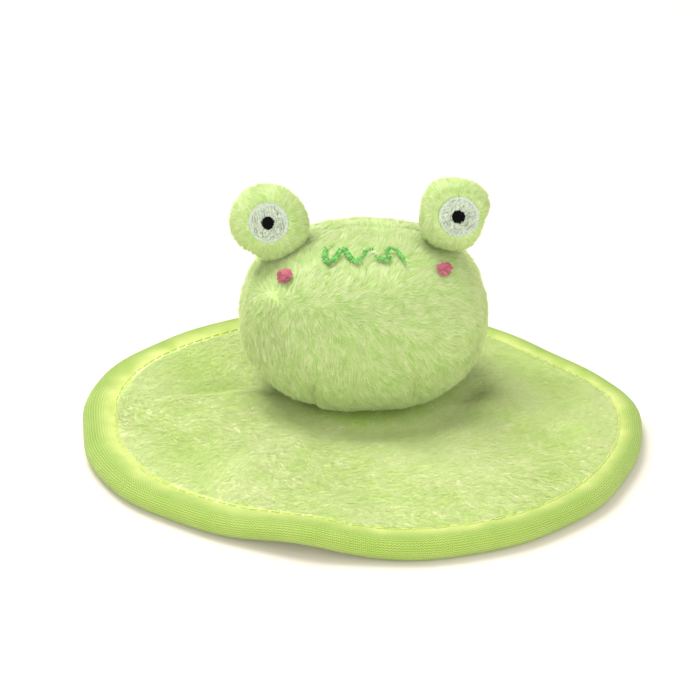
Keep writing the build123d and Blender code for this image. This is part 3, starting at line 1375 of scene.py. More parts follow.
    def build_top(self) -> None:
        """Builds the plush top and its pile, in four quarters."""
        cloth = self.top_cloth()
        quads = ring_faces(self.rings, self.spokes)[:, ::-1]
        panel = new_piece("mat_top_panel", cloth.points, quads)
        thicken(panel, self.skin)
        dress(panel, "mat", "mat_plush", WARDROBE.take(MAT_PLUSH, "ground"), "mat_top_plush")
        middles = cloth.middles()
        under_lip = self.inside(middles) < self.lip - 0.4
        for word_y, back in (("front", False), ("back", True)):
            for side in Side:
                quarter = (middles[:, 0] * side.value > 0) & ((middles[:, 1] > self.neck[1] - 12) == back)
                part = cloth.part(quarter & ~under_lip)
                # The mat's pile takes painted shade round the neck and in its hollows.
                pile = self.pile.grow(f"mat_pile_{word_y}_{side.word}", part, self.fibres, self.comb,
                                      painted_shade=self.painted_shade)
                dress(pile, "mat", "mat_plush", WARDROBE.take(MAT_PLUSH, "fibres"))

    def build_padding(self) -> None:
        """Builds the thin padding between the plush and the backing."""
        spokes, rings = 120, 24
        flat = self.grid(self.tuck + 1.0, self.hole + 0.4, spokes, rings)
        upper = self.raised(flat, self.top(flat) - self.pile.length * 0.25 - self.skin - 0.15)
        lower = self.raised(flat, np.full(len(flat), 1.3))
        upper[:, 2] = np.maximum(upper[:, 2], lower[:, 2] + 0.6)
        top_faces = ring_faces(rings, spokes)[:, ::-1]
        low_faces = top_faces[:, ::-1] + len(upper)
        rims = []
        for row, flip in ((0, True), (rings - 1, False)):
            here = row * spokes + np.arange(spokes)
            beside = row * spokes + (np.arange(spokes) + 1) % spokes
            rim = np.stack([beside, here, here + len(upper), beside + len(upper)], axis=1)
            rims.append(rim[:, ::-1] if flip else rim)
        faces = np.concatenate([top_faces, low_faces, *rims])
        pad = new_piece("mat_padding", np.concatenate([upper, lower]), faces)
        dress(pad, "mat", "wadding", WARDROBE.take(FillingFinish("padding_fibre")), "mat_wadding")

    def build_backing(self) -> None:
        """Builds the woven backing under the mat, with its hem tucked into the tape."""
        spokes, rings = 200, 40
        flat = self.grid(self.tuck, self.hole + 3.0, spokes, rings)
        hem = 0.95 * ease(self.lip + 2.5, self.lip - 1.0, self.inside(flat))
        away = np.hypot(flat[:, 0] - self.neck[0], flat[:, 1] - self.neck[1])
        facing = 1.35 * ease(self.hole + 6.0, self.hole + 4.0, away)
        solid = np.column_stack([flat, np.zeros(len(flat))])
        slack = 0.12 * (Swell(26.0, 8).at(solid) + 1.0)
        low = self.raised(flat, np.maximum(0.08, 0.05 + np.maximum(hem, facing) + slack))
        backing = new_piece("mat_backing", low, ring_faces(rings, spokes))
        thicken(backing, 0.5)
        dress(backing, "mat", "backing_fabric", WARDROBE.take(BACKING), "mat_base_fabric")

    def tape_section(self) -> np.ndarray:
        """The folded tape's section as inset and height: its outer side, then its inner side."""
        half, lip = self.rim_height / 2, self.lip
        turns = np.linspace(math.pi / 2, -math.pi / 2, 15)
        outer = np.array([[lip, 2 * half - 0.75], [lip - 1.0, 2 * half - 0.95], [lip - 2.2, 2 * half - 0.35]]
                         + [[half - half * math.cos(t), half + half * math.sin(t)] for t in turns]
                         + [[lip - 2.2, 0.05], [lip - 1.0, 0.3], [lip, 0.1]])
        inner = np.array([[lip + 0.15, 0.5], [lip - 1.0, 0.3 + self.tape], [lip - 2.2, self.tape]]
                         + [[half - (half - self.tape) * math.cos(t), half + (half - self.tape) * math.sin(t)]
                            for t in turns[::-1]]
                         + [[lip - 2.2, 2 * half - 0.35 - self.tape],
                            [lip - 1.0, 2 * half - 0.95 - self.tape], [lip + 0.15, 2 * half - 1.2]])
        return np.concatenate([outer, inner])

    def build_tape(self) -> None:
        """Builds the tape folded over the edge, with slight puckers between its stitches."""
        section = self.tape_section()
        turns = full_turn(self.stations)
        rows = []
        for inset, height in section:
            ring = self.outline(turns, inset)
            depth = ease(0.0, self.lip, np.full(len(turns), inset))
            pucker = 0.16 * np.sin(turns * 64.0 + 1.2 * np.sin(turns * 7.0))
            pucker *= bell(np.full(len(turns), inset - 7.0), 2.4)
            slack = 0.3 * np.sin(9 * turns + 1.0) * (1 - depth) + 0.22 * np.sin(17 * turns) * (1 - depth)
            middle = self.rim_height / 2
            tall = middle + (height - middle) * (1.0 + 0.03 * np.sin(4 * turns + 0.5))
            tall = tall + (pucker if height > 4 else 0)
            rise = np.maximum(tall, 0.02)
            drift = ring * (1.0 + slack[:, None] / 95.0)
            rows.append(self.raised(drift, rise))
        points = np.concatenate(rows)
        faces = ring_faces(len(section), self.stations, closed_rows=True)[:, ::-1]
        tape = new_piece("edge_tape", points, faces)
        run = 2 * math.pi * math.sqrt((self.half ** 2).mean())
        map_rings(tape, faces, self.stations, run, lengths_along(section))
        # The fold carries the ribs' relief and the painted shade on the tape's outer side.
        set_attribute(tape, "fold", np.repeat(ease(6.6, 3.2, section[:, 0]), self.stations))
        dress(tape, "mat", "binding_tape", WARDROBE.take(TAPE), "edge_binding")

    def edge_places(self, inset: float, pitch: float) -> tuple[np.ndarray, np.ndarray]:
        """Steps along the edge at an even pitch.

        Args:
            inset: How far in from the edge.
            pitch: The distance between steps.

        Returns:
            Places and directions in X and Y.
        """
        turns = np.linspace(0, 2 * math.pi, 2001)
        return walk(self.outline(turns, inset), pitch)

    def build_topstitch(self) -> None:
        """Builds the row of stitches along the tape's lip, on top and underneath."""
        rng = np.random.default_rng(5)
        for word, height, facing in (("upper", self.rim_height - 0.72, 1.0), ("under", 0.34, -1.0)):
            places, heading = self.edge_places(self.lip - 1.0, 3.9)
            start = self.raised(places - heading * 1.6, np.full(len(places), height))
            end = self.raised(places + heading * 1.6, np.full(len(places), height))
            up = np.tile([0.0, 0.0, facing], (len(places), 1))
            row = STITCHES.lay(f"edge_topstitch_{word}", (start + end) / 2, end - start, up,
                               rng.uniform(2.9, 3.4, len(places)), 0.3, rng.uniform(0.3, 1.0, len(places)))
            stands_for = ("binding_topstitch",) if word == "upper" else ()
            dress(row, "mat", "binding_thread", WARDROBE.take(BINDING_THREAD), *stands_for)

    def build_pocket_mouth(self) -> None:
        """Builds the tape ring round the finger hole and the stitches that hold it."""
        columns = 240
        turns = full_turn(columns)
        section = np.array([[0.0, 0.2], [0.3, 0.0], [1.4, 0.12], [2.0, 0.0], [3.6, 0.0],
                            [4.0, 0.3], [3.9, 1.0], [2.0, 1.1], [0.3, 1.1], [0.0, 0.9]])
        rows = []
        for out, height in section:
            wave = 0.12 * np.sin(turns * 30) * (1.0 if height < 0.5 else 0.0)
            rows.append(circle(self.neck, self.hole + out, turns, np.maximum(height + wave, 0.0)))
        faces = ring_faces(len(section), columns, closed_rows=True)
        ring = new_piece("pocket_mouth_tape", np.concatenate(rows), faces)
        map_rings(ring, faces, columns, MOUTH_RUN, lengths_along(section))
        # Half the fold's painted shade and groove shade, evenly round the ring.
        set_attribute(ring, "fold", np.full(len(ring.data.vertices), 0.5))
        dress(ring, "mat", "binding_tape", WARDROBE.take(TAPE), "pocket_mouth_binding")
        rng = np.random.default_rng(6)
        count = 34
        spots = full_turn(count)
        along = circle(np.zeros(2), 1.0, spots + math.pi / 2, 0.0)
        places = circle(self.neck, self.hole + 2.9, spots, 0.3)
        down = np.tile([0.0, 0.0, -1.0], (count, 1))
        stitches = STITCHES.lay("pocket_mouth_stitches", places, along, down, 2.8, 0.26,
                                rng.uniform(0.2, 1.0, count))
        dress(stitches, "mat", "sewing_thread", WARDROBE.take(SEWING_THREAD))

    def build(self) -> None:
        """Builds the whole mat."""
        self.build_padding()
        self.build_top()
        self.build_backing()
        self.build_tape()
        self.build_topstitch()
        self.build_pocket_mouth()


# ---- The neck ----

@dataclass
class Neck:
    """The soft neck: the pocket's lining through the mat, rolls of plush, and the stitches between them."""

    centre: np.ndarray = field(default_factory=lambda: cad_middle("neck_sleeve"))
    lining_r: float = 16.9
    roll_r: float = 18.2
    roll_half: float = 1.1
    pile: Pile = Pile(length=2.0, width=0.36, rise=30.0, lock=1.3, gather=0.3, stray=0.3, seed=17)
    fibres: int = 3500

    def comb(self, places: np.ndarray) -> np.ndarray:
        """The neck's pile lies outwards and down."""
        outward = places - self.centre
        outward[:, 2] = -6.0
        return outward

    def build_lining(self) -> None:
        """Builds the lining's lower end, gathered a little where it meets the head."""
        columns, rows = 160, 16
        turns = full_turn(columns)
        rings = []
        for share in np.linspace(0, 1, rows):
            height = 0.45 + 9.6 * share
            gather = 0.22 * np.sin(turns * 26) * ease(0.0, 0.5, np.full(columns, share))
            radius = self.lining_r - 1.1 * ease(0.45, 0.85, np.full(columns, share)) + gather
            rings.append(circle(self.centre, radius, turns, height))
        faces = ring_faces(rows, columns)
        lining = new_piece("neck_lining", np.concatenate(rings), faces)
        map_rings(lining, faces, columns, 2 * math.pi * self.lining_r, np.linspace(0, 9.6, rows))
        thicken(lining, 0.5)
        dress(lining, "neck_turner", "lining", WARDROBE.take(LINING), "neck_sleeve")

    def build_rolls(self) -> None:
        """Builds the three rolls of gathered plush, one for each of the neck's hinges."""
        steps = (("lower", "mat", "neck_turner", 5.0), ("middle", "neck_turner", "neck_nodder", 6.3),
                 ("upper", "neck_nodder", "head", 7.6))
        for index, (word, below, above, height) in enumerate(steps):
            bpy.ops.object.select_all(action="DESELECT")
            bpy.ops.mesh.primitive_torus_add(
                major_segments=144, minor_segments=16, major_radius=(self.roll_r - 0.3 * index) * MM,
                minor_radius=self.roll_half * MM,
                location=(self.centre[0] * MM, self.centre[1] * MM, height * MM))
            roll = fresh(f"neck_roll_{word}")
            bpy.ops.object.transform_apply(location=True, rotation=True, scale=True)
            points = coordinates(roll)
            turns = np.arctan2(points[:, 1] - self.centre[1], points[:, 0] - self.centre[0])
            gather = 1.0 + 0.12 * np.sin(turns * 24 + index) + 0.05 * np.sin(turns * 51)
            ring = circle(self.centre, self.roll_r, turns, height)
            squat = (points - ring) * np.column_stack([gather, gather, gather * 0.75])
            set_coordinates(roll, ring + squat)
            roll.data.shade_smooth()
            plush, slot = (HEAD_PLUSH, "head_plush") if index else (MAT_PLUSH, "mat_plush")
            tuft = self.pile.grow(f"neck_pile_{word}", surface_of(roll), self.fibres, self.comb)
            for piece, kind in ((roll, "ground"), (tuft, "fibres")):
                piece.data.materials.append(WARDROBE.take(plush, kind))
                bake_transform(piece)

    def build_stitches(self) -> None:
        """Builds the ring of ladder stitches that holds the head down."""
        low, high = cad_box("neck_stitches")
        count = 24
        turns = full_turn(count)
        radius = (high[0] - low[0]) / 2
        middle, wave = (low[2] + high[2]) / 2, (high[2] - low[2]) / 2 - 0.3
        places = circle(self.centre, radius, turns, middle - wave * np.cos(2 * turns))
        outward = circle(np.zeros(2), 1.0, turns, 0.0)
        along = circle(np.zeros(2), 1.0, turns + math.pi / 2, 0.0)
        rng = np.random.default_rng(14)
        ring = STITCHES.lay("neck_ladder_stitches", places, along, outward, 2.9, 0.28,
                            rng.uniform(0.1, 0.9, count))
        dress(ring, "neck_nodder", "sewing_thread", WARDROBE.take(SEWING_THREAD), "neck_stitches")

    def build(self) -> None:
        """Builds the whole neck."""
        self.build_lining()
        self.build_rolls()
        self.build_stitches()


# ---- The head ----

@dataclass
class Head:
    """The stuffed head: two plush skins with their pile, filling, finger pocket, seam, mouth and cheeks."""

    neck: np.ndarray = field(default_factory=lambda: cad_middle("neck_sleeve"))
    half: tuple[float, float, float] = (44.0, 37.0, 31.9)
    height: float = 37.3
    power_up: float = 2.42
    power_round: float = 2.2
    roll: float = 2.0
    seam_y: float = field(default_factory=lambda: float(cad_middle("head_side_seam")[1]))
    pile_depth: float = 1.3
    skin: float = 1.0
    hole: float = 18.2
    pile: Pile = Pile(length=3.8, width=0.3, rise=15.0, lock=1.4, gather=0.42, stray=0.22, seed=31,
                      spread=1.35)
    fibres: tuple[int, int] = (43000, 26000)
    glance: float = math.radians(26.5)
    darts: dict[Side, tuple[float, float, float]] = field(default_factory=lambda: {
        Side.LEFT: (-17.8, 12.5, 18.0), Side.RIGHT: (17.0, 13.0, 21.0)})
    shell: bpy.types.Object = field(init=False)
    cloth: Surface = field(init=False)

    @property
    def centre(self) -> np.ndarray:
        """The middle of the head."""
        return np.array([self.neck[0], self.neck[1] + 0.5, self.height])

    def shaped(self, directions: np.ndarray, depth: float) -> np.ndarray:
        """Places points on the head's form.

        Args:
            directions: Unit vectors from the head's middle.
            depth: How far under the outer form.

        Returns:
            The points.
        """
        x, y, z = np.abs(directions).T
        around = (x ** self.power_round + y ** self.power_round) ** (self.power_up / self.power_round)
        reach = (around + z ** self.power_up) ** (-1 / self.power_up)
        points = directions * reach[:, None] * (np.array(self.half) - depth)
        lean = math.radians(self.roll)
        turned = points.copy()
        turned[:, 0] = points[:, 0] * math.cos(lean) - points[:, 2] * math.sin(lean) * 0.4
        turned[:, 2] = points[:, 2] * math.cos(lean) + points[:, 0] * math.sin(lean) * 0.5
        points = turned + self.centre
        away = np.hypot(points[:, 0] - self.neck[0], points[:, 1] - self.neck[1])
        low = ease(self.height, self.height - 20.0, points[:, 2])
        points[:, 2] -= 0.8 * low * ease(40.0, 22.0, away)
        flare = 1.0 + 0.035 * bell(points[:, 2] - 13.0, 7.0)[:, None]
        points[:, :2] = self.neck[:2] + (points[:, :2] - self.neck[:2]) * flare
        outward = np.sign(directions[:, 0]) * ease(0.4, 0.9, np.abs(directions[:, 0]))
        cheeks = bell(points[:, 2] - 33.0, 15.0) * outward
        points[:, 0] += 0.7 * cheeks
        return points

    def make_shell(self) -> None:
        """Makes the head's skin as one closed form, stuffed tight, with the seam and darts drawn in."""
        self.shell, directions = ico_form("head_shell")
        points = self.shaped(directions, self.pile_depth + 0.6)
        set_coordinates(self.shell, points)
        under = (points[:, 2] < 16.0) & (np.hypot(points[:, 0], points[:, 1] - self.neck[1]) < 24.0)
        seam = np.abs(points[:, 1] - self.seam_y) < 1.6
        inflate(self.shell, under | seam, 4.0, 1.0)
        refine(self.shell)
        cloth = surface_of(self.shell)
        points = cloth.points
        groove = 1.3 * bell(points[:, 1] - self.seam_y, 1.5)
        front = ease(self.seam_y, self.seam_y - 8.0, points[:, 1])
        drawn = self.drawing(points)
        for place, bottom, top in self.darts.values():
            tall = ease(bottom - 3.0, bottom, drawn[:, 1]) * ease(top + 2.0, top - 3.0, drawn[:, 1])
            groove += 1.8 * bell(drawn[:, 0] - place, 1.3) * tall * front
        dent = 0.5 * Swell(23.0, 41).at(points) + 0.22 * Swell(9.0, 42).at(points)
        points = points - cloth.normals * (groove + 0.5 * dent)[:, None]
        set_coordinates(self.shell, points)
        self.cloth = surface_of(self.shell)

    def drawing(self, points: np.ndarray) -> np.ndarray:
        """Gives points their place in the flat drawing that the face is laid out on, seen from above."""
        tall = points[:, 1] * math.sin(self.glance) + points[:, 2] * math.cos(self.glance)
        return np.column_stack([points[:, 0], tall])

    def on_face(self, x: np.ndarray, tall: np.ndarray, rise: float) -> tuple[np.ndarray, np.ndarray]:
        """Lays places of the drawing onto the face.

        Args:
            x: Places across.
            tall: Places up the drawing.
            rise: How far off the cloth they end.

        Returns:
            The places on the face, and the normals there.
        """
        tree = self.cloth.tree()
        up = Vector((0.0, math.sin(self.glance), math.cos(self.glance)))
        ahead = Vector((0.0, math.cos(self.glance), -math.sin(self.glance)))
        places, normals = [], []
        for one_x, one_tall in zip(x, tall):
            start = Vector((one_x, 0.0, 0.0)) + up * one_tall - ahead * 120.0
            place, normal, _, _ = tree.ray_cast(start, ahead)
            if place is None:
                place, normal, _, _ = tree.find_nearest(start + ahead * 125.0)
            places.append(place)
            normals.append(normal)
        facing = unit(np.array(normals))
        return np.array(places) + facing * rise, facing

    def comb(self, places: np.ndarray) -> np.ndarray:
        """The pile is brushed down the face, back over the crown, and a little to one side.

        Args:
            places: Places on the head.

        Returns:
            The direction at each.
        """
        slant = 0.5 + 0.3 * np.clip(places[:, 0] / 40.0, -1.0, 1.0)
        crown = ease(40.0, 68.0, places[:, 2])[:, None]
        down = np.column_stack([slant, np.zeros(len(places)), -np.ones(len(places))])
        down = down * (1 - crown) + np.array([0.75, 1.0, 0.2]) * crown
        lean = np.radians(24.0 * Swell(34.0, 51).at(places) + 22.0 * Swell(11.0, 52).at(places))
        normals = unit((places - self.centre) / np.array(self.half) ** 2)
        flat = across(down, normals)
        return flat * np.cos(lean)[:, None] + np.cross(normals, flat) * np.sin(lean)[:, None]

    def over_neck(self, middles: np.ndarray) -> np.ndarray:
        """Says which places lie over the neck's hole, in the head's underside."""
        away = np.hypot(middles[:, 0] - self.neck[0], middles[:, 1] - self.neck[1])
        return (middles[:, 2] < 18.0) & (away < self.hole)

    def build_skins(self, bare: Field) -> None:
        """Builds the face and back skins and their pile.

        Args:
            bare: Says where no pile grows.
        """
        panels = (("face", True, "face_panel", self.fibres[0]),
                  ("back", False, "head_back_panel", self.fibres[1]))
        for word, front, node, count in panels:
            skin = copied(self.shell, f"{word}_skin")
            edge = self.seam_y - 0.45 if front else self.seam_y + 0.45
            halve(skin, (0, edge, 0), (0, 1, 0), front)
            drop_faces(skin, self.over_neck)
            cloth = surface_of(skin)
            area = cloth.areas().sum()
            middles = cloth.middles()
            for side in Side:
                part = cloth.part(middles[:, 0] * side.value > 0)
                pile = self.pile.grow(f"{word}_pile_{side.word}", part, count, self.comb, bare)
                dress(pile, "head", "head_plush", WARDROBE.take(HEAD_PLUSH, "fibres"))
            thicken(skin, self.skin)
            dress(skin, "head", "head_plush", WARDROBE.take(HEAD_PLUSH, "ground"), node)

    def build_filling(self) -> None:
        """Builds the fibre filling, with the finger pocket's room left open."""
        filling = copied(self.shell, "head_filling")
        points = coordinates(filling)
        points -= surface_of(filling).normals * (self.skin + 0.5)
        set_coordinates(filling, points)
        bpy.ops.object.select_all(action="DESELECT")
        top = cad_box("finger_pocket")[1][2] + 0.6
        bpy.ops.mesh.primitive_cylinder_add(vertices=96, radius=17.8 * MM, depth=top * MM,
                                            location=(self.neck[0] * MM, self.neck[1] * MM, top / 2 * MM))
        room = fresh("pocket_room")
        bore = filling.modifiers.new("pocket", "BOOLEAN")
        bore.operation = "DIFFERENCE"
        bore.solver = "EXACT"
        bore.object = room
        apply_all(filling)
        bpy.data.objects.remove(room)
        dress(filling, "head", "stuffing", WARDROBE.take(FillingFinish("fibre_filling")), "head_stuffing")

    def build_pocket(self) -> None:
        """Builds the blind tube of lining, with soft gathers and a rounded, sewn end."""
        low, high = cad_box("finger_pocket")
        radius, rows, columns = (high[0] - low[0]) / 2 - 0.1, 64, 160
        turns = full_turn(columns)
        profile = np.concatenate([np.linspace(0, 0.8, 40), np.linspace(0.8, 1.0, 24)[1:], [1.0]])[:rows]
        foot, crown = 10.6, high[2] - 0.1
        rings = []
        for index, share in enumerate(profile):
            straight = index < 40
            height = foot + (crown - 5.0 - foot) * share / 0.8 if straight else crown - 5.0
            size = radius
            if not straight:
                quarter = (index - 39) / (rows - 40) * math.pi / 2
                height = crown - 5.0 + 5.0 * math.sin(quarter)
                size = radius - 5.0 + 5.0 * math.cos(quarter) if index < rows - 1 else radius - 5.0
            soft = 0.25 * np.sin(turns * 11 + height * 0.2) * ease(12.0, 24.0, np.full(columns, height))
            ring_r = size - np.abs(soft)
            rings.append(circle(self.neck, ring_r, turns, height))
        points = np.concatenate([*rings, [[self.neck[0], self.neck[1], crown]]])
        faces = [list(face) for face in ring_faces(len(rings), columns)]
        tip, last = len(points) - 1, (len(rings) - 1) * columns
        faces += [[last + i, last + (i + 1) % columns, tip] for i in range(columns)]
        pocket = new_piece("finger_pocket_lining", points, faces)
        uv = []
        for face in faces:
            for corner in face:
                x, y, z = points[corner] - np.array([self.neck[0], self.neck[1], 0])
                uv.append((math.atan2(y, x) * radius, z if z < crown - 0.2 else math.hypot(x, y)))
        set_uv(pocket, np.array(uv))
        thicken(pocket, 0.5)
        dress(pocket, "head", "lining", WARDROBE.take(LINING), "finger_pocket")

    def build_seam(self) -> None:
        """Builds the closing stitches that show faintly down in the side seam."""
        turns = np.radians(np.arange(-52.0, 232.0, 2.6))
        tree = self.cloth.tree()
        places, outward = [], []
        for turn in turns:
            heading = Vector((math.cos(turn), 0.0, math.sin(turn)))
            start = Vector((self.centre[0], self.seam_y, self.centre[2]))
            place, _, _, _ = tree.ray_cast(start, heading)
            places.append(place)
            outward.append(heading)
        places, outward = np.array(places), np.array(outward)
        rng = np.random.default_rng(61)
        lean = np.column_stack([np.zeros(len(turns)), np.where(np.arange(len(turns)) % 2, 0.8, -0.8),
                                np.zeros(len(turns))])
        along = np.cross(outward, [0.0, 1.0, 0.0]) + lean * 0.6
        row = STITCHES.lay("head_seam_stitches", places + outward * 0.25, along, outward, 1.7, 0.2,
                           rng.uniform(0.1, 0.8, len(turns)))
        dress(row, "head", "sewing_thread", WARDROBE.take(SEWING_THREAD), "head_side_seam")

    def build_darts(self) -> None:
        """Builds the tight stitches down in each chin fold."""
        for side, (place, bottom, top) in self.darts.items():
            tall = np.arange(bottom, top, 1.4)
            places, normals = self.on_face(np.full(len(tall), place), tall, 0.15)
            along = np.gradient(places, axis=0)
            rng = np.random.default_rng(66)
            row = STITCHES.lay(f"chin_fold_stitches_{side.word}", places, along, normals, 1.4, 0.18,
                               rng.uniform(0.0, 0.6, len(tall)))
            dress(row, "head", "sewing_thread", WARDROBE.take(SEWING_THREAD), f"chin_dart_{side.word}")


@dataclass
class Embroidery:
    """The thread on the face: a zigzag mouth in two strokes, and a satin dot on each cheek."""

    head: Head
    mouth_height: float = 59.6
    strokes: dict[str, tuple[tuple[float, float], ...]] = field(default_factory=lambda: {
        "left": ((-12.7, 2.3), (-13.2, -0.7), (-11.7, -2.3), (-10.1, -1.7), (-8.9, 0.2), (-7.4, 2.0),
                 (-5.9, 1.1), (-4.8, -0.7), (-3.4, -2.1), (-1.9, -1.8), (-0.4, -0.2), (0.3, 1.1),
                 (1.4, 1.8), (2.9, 1.8)),
        "right": ((3.8, -0.2), (4.9, -1.0), (6.5, -1.7), (7.9, -1.8), (8.1, -0.2), (7.2, 1.3), (8.4, 2.2),
                  (10.2, 1.8), (11.5, 0.7), (12.7, -1.1), (13.6, -2.9)),
    })
    widths: tuple[float, float, float] = (2.2, 1.45, -3.0)
    cheeks: dict[Side, tuple[float, float]] = field(default_factory=lambda: {
        Side.LEFT: (-26.3, 53.0), Side.RIGHT: (26.4, 55.2)})
    cheek: tuple[float, float] = (2.45, 2.5)
    rise: float = 1.8

    def width_at(self, x: np.ndarray) -> np.ndarray:
        """How wide the mouth's line is: wide at its left, and thinner from the middle on."""
        wide, thin, change = self.widths
        return thin + (wide - thin) * ease(change + 2.5, change - 1.0, x)

    def bare(self, roots: np.ndarray) -> np.ndarray:
        """Says where the thread leaves no room for pile.

        Args:
            roots: Places on the head.

        Returns:
            Whether each is under the thread.
        """
        flat = self.head.drawing(roots)
        hidden = np.zeros(len(roots), bool)
        for points in self.strokes.values():
            path = smooth_path(points, 4)
            path[:, 1] += self.mouth_height
            for start, end in zip(path, path[1:]):
                hidden |= distance_to_line(flat, tuple(start), tuple(end)) < self.width_at(flat[:, 0]) * 0.5
        for middle in self.cheeks.values():
            hidden |= np.hypot(*(flat - np.array(middle)).T) < self.cheek[0] - 0.2
        return hidden & (roots[:, 1] < 20.0)

    def build_mouth(self) -> None:
        """Builds each stroke of the mouth as slanting stitches packed side by side."""
        for index, (word, points) in enumerate(self.strokes.items()):
            rng = np.random.default_rng(71 + index)
            path, heading = walk(smooth_path(points), 0.36)
            turn = np.column_stack([-heading[:, 1], heading[:, 0]])
            slant = np.where(np.arange(len(path)) % 2 == 0, 0.55, -0.45)[:, None]
            lean = unit(turn + heading * slant)
            path = path + turn * rng.normal(0, 0.1, (len(path), 1))
            places, normals = self.head.on_face(path[:, 0], path[:, 1] + self.mouth_height, self.rise)
            level, upright = level_and_upright(normals)
            along = level * lean[:, :1] + upright * lean[:, 1:]
            row = STITCHES.lay(f"mouth_stitches_{word}", places, along, normals,
                               self.width_at(path[:, 0]) * rng.uniform(0.85, 1.2, len(places)), 0.3,
                               rng.uniform(0.0, 1.0, len(places)), 0.9)
            dress(row, "head", "mouth_thread", WARDROBE.take(MOUTH_THREAD), f"mouth_stroke_{word}")

    def build_cheeks(self) -> None:
        """Builds each cheek as slanting satin rows with a ragged outline."""
        for side in Side:
            rng = np.random.default_rng(81 + side.value)
            along, beside = slanted(58.0 if side is Side.LEFT else 118.0)
            centre = np.array(self.cheeks[side])
            spots, lengths, tones = [], [], []
            for offset in np.arange(-self.cheek[0] + 0.2, self.cheek[0], 0.4):
                reach = math.sqrt(max(0.0, 1 - (offset / self.cheek[0]) ** 2)) * self.cheek[1]
                reach += rng.uniform(-0.45, 0.45)
                for part in (-1, 1):
                    middle = centre + beside * offset + along * part * reach * 0.48 + rng.normal(0, 0.08, 2)
                    spots.append(middle)
                    lengths.append(max(0.8, reach * 1.12))
                    # Painted light: each cheek's stitches are lighter towards its top and darker towards its
                    # bottom, as light falls from above, with a random spread.
                    tones.append(0.5 + 0.28 * (middle[1] - centre[1]) / self.cheek[1] + rng.normal(0, 0.22))
            spots = np.array(spots)
            places, normals = self.head.on_face(spots[:, 0], spots[:, 1], self.rise)
            level, upright = level_and_upright(normals)
            heading = level * along[0] + upright * along[1]
            row = STITCHES.lay(f"cheek_stitches_{side.word}", places, heading, normals, np.array(lengths),
                               0.27, np.clip(tones, 0, 1), 1.6)
            dress(row, "head", "cheek_thread", WARDROBE.take(CHEEK_THREAD), f"cheek_{side.word}")

    def build(self) -> None:
        """Builds the mouth and both cheeks."""
        self.build_mouth()
        self.build_cheeks()


# ---- The eye bumps ----

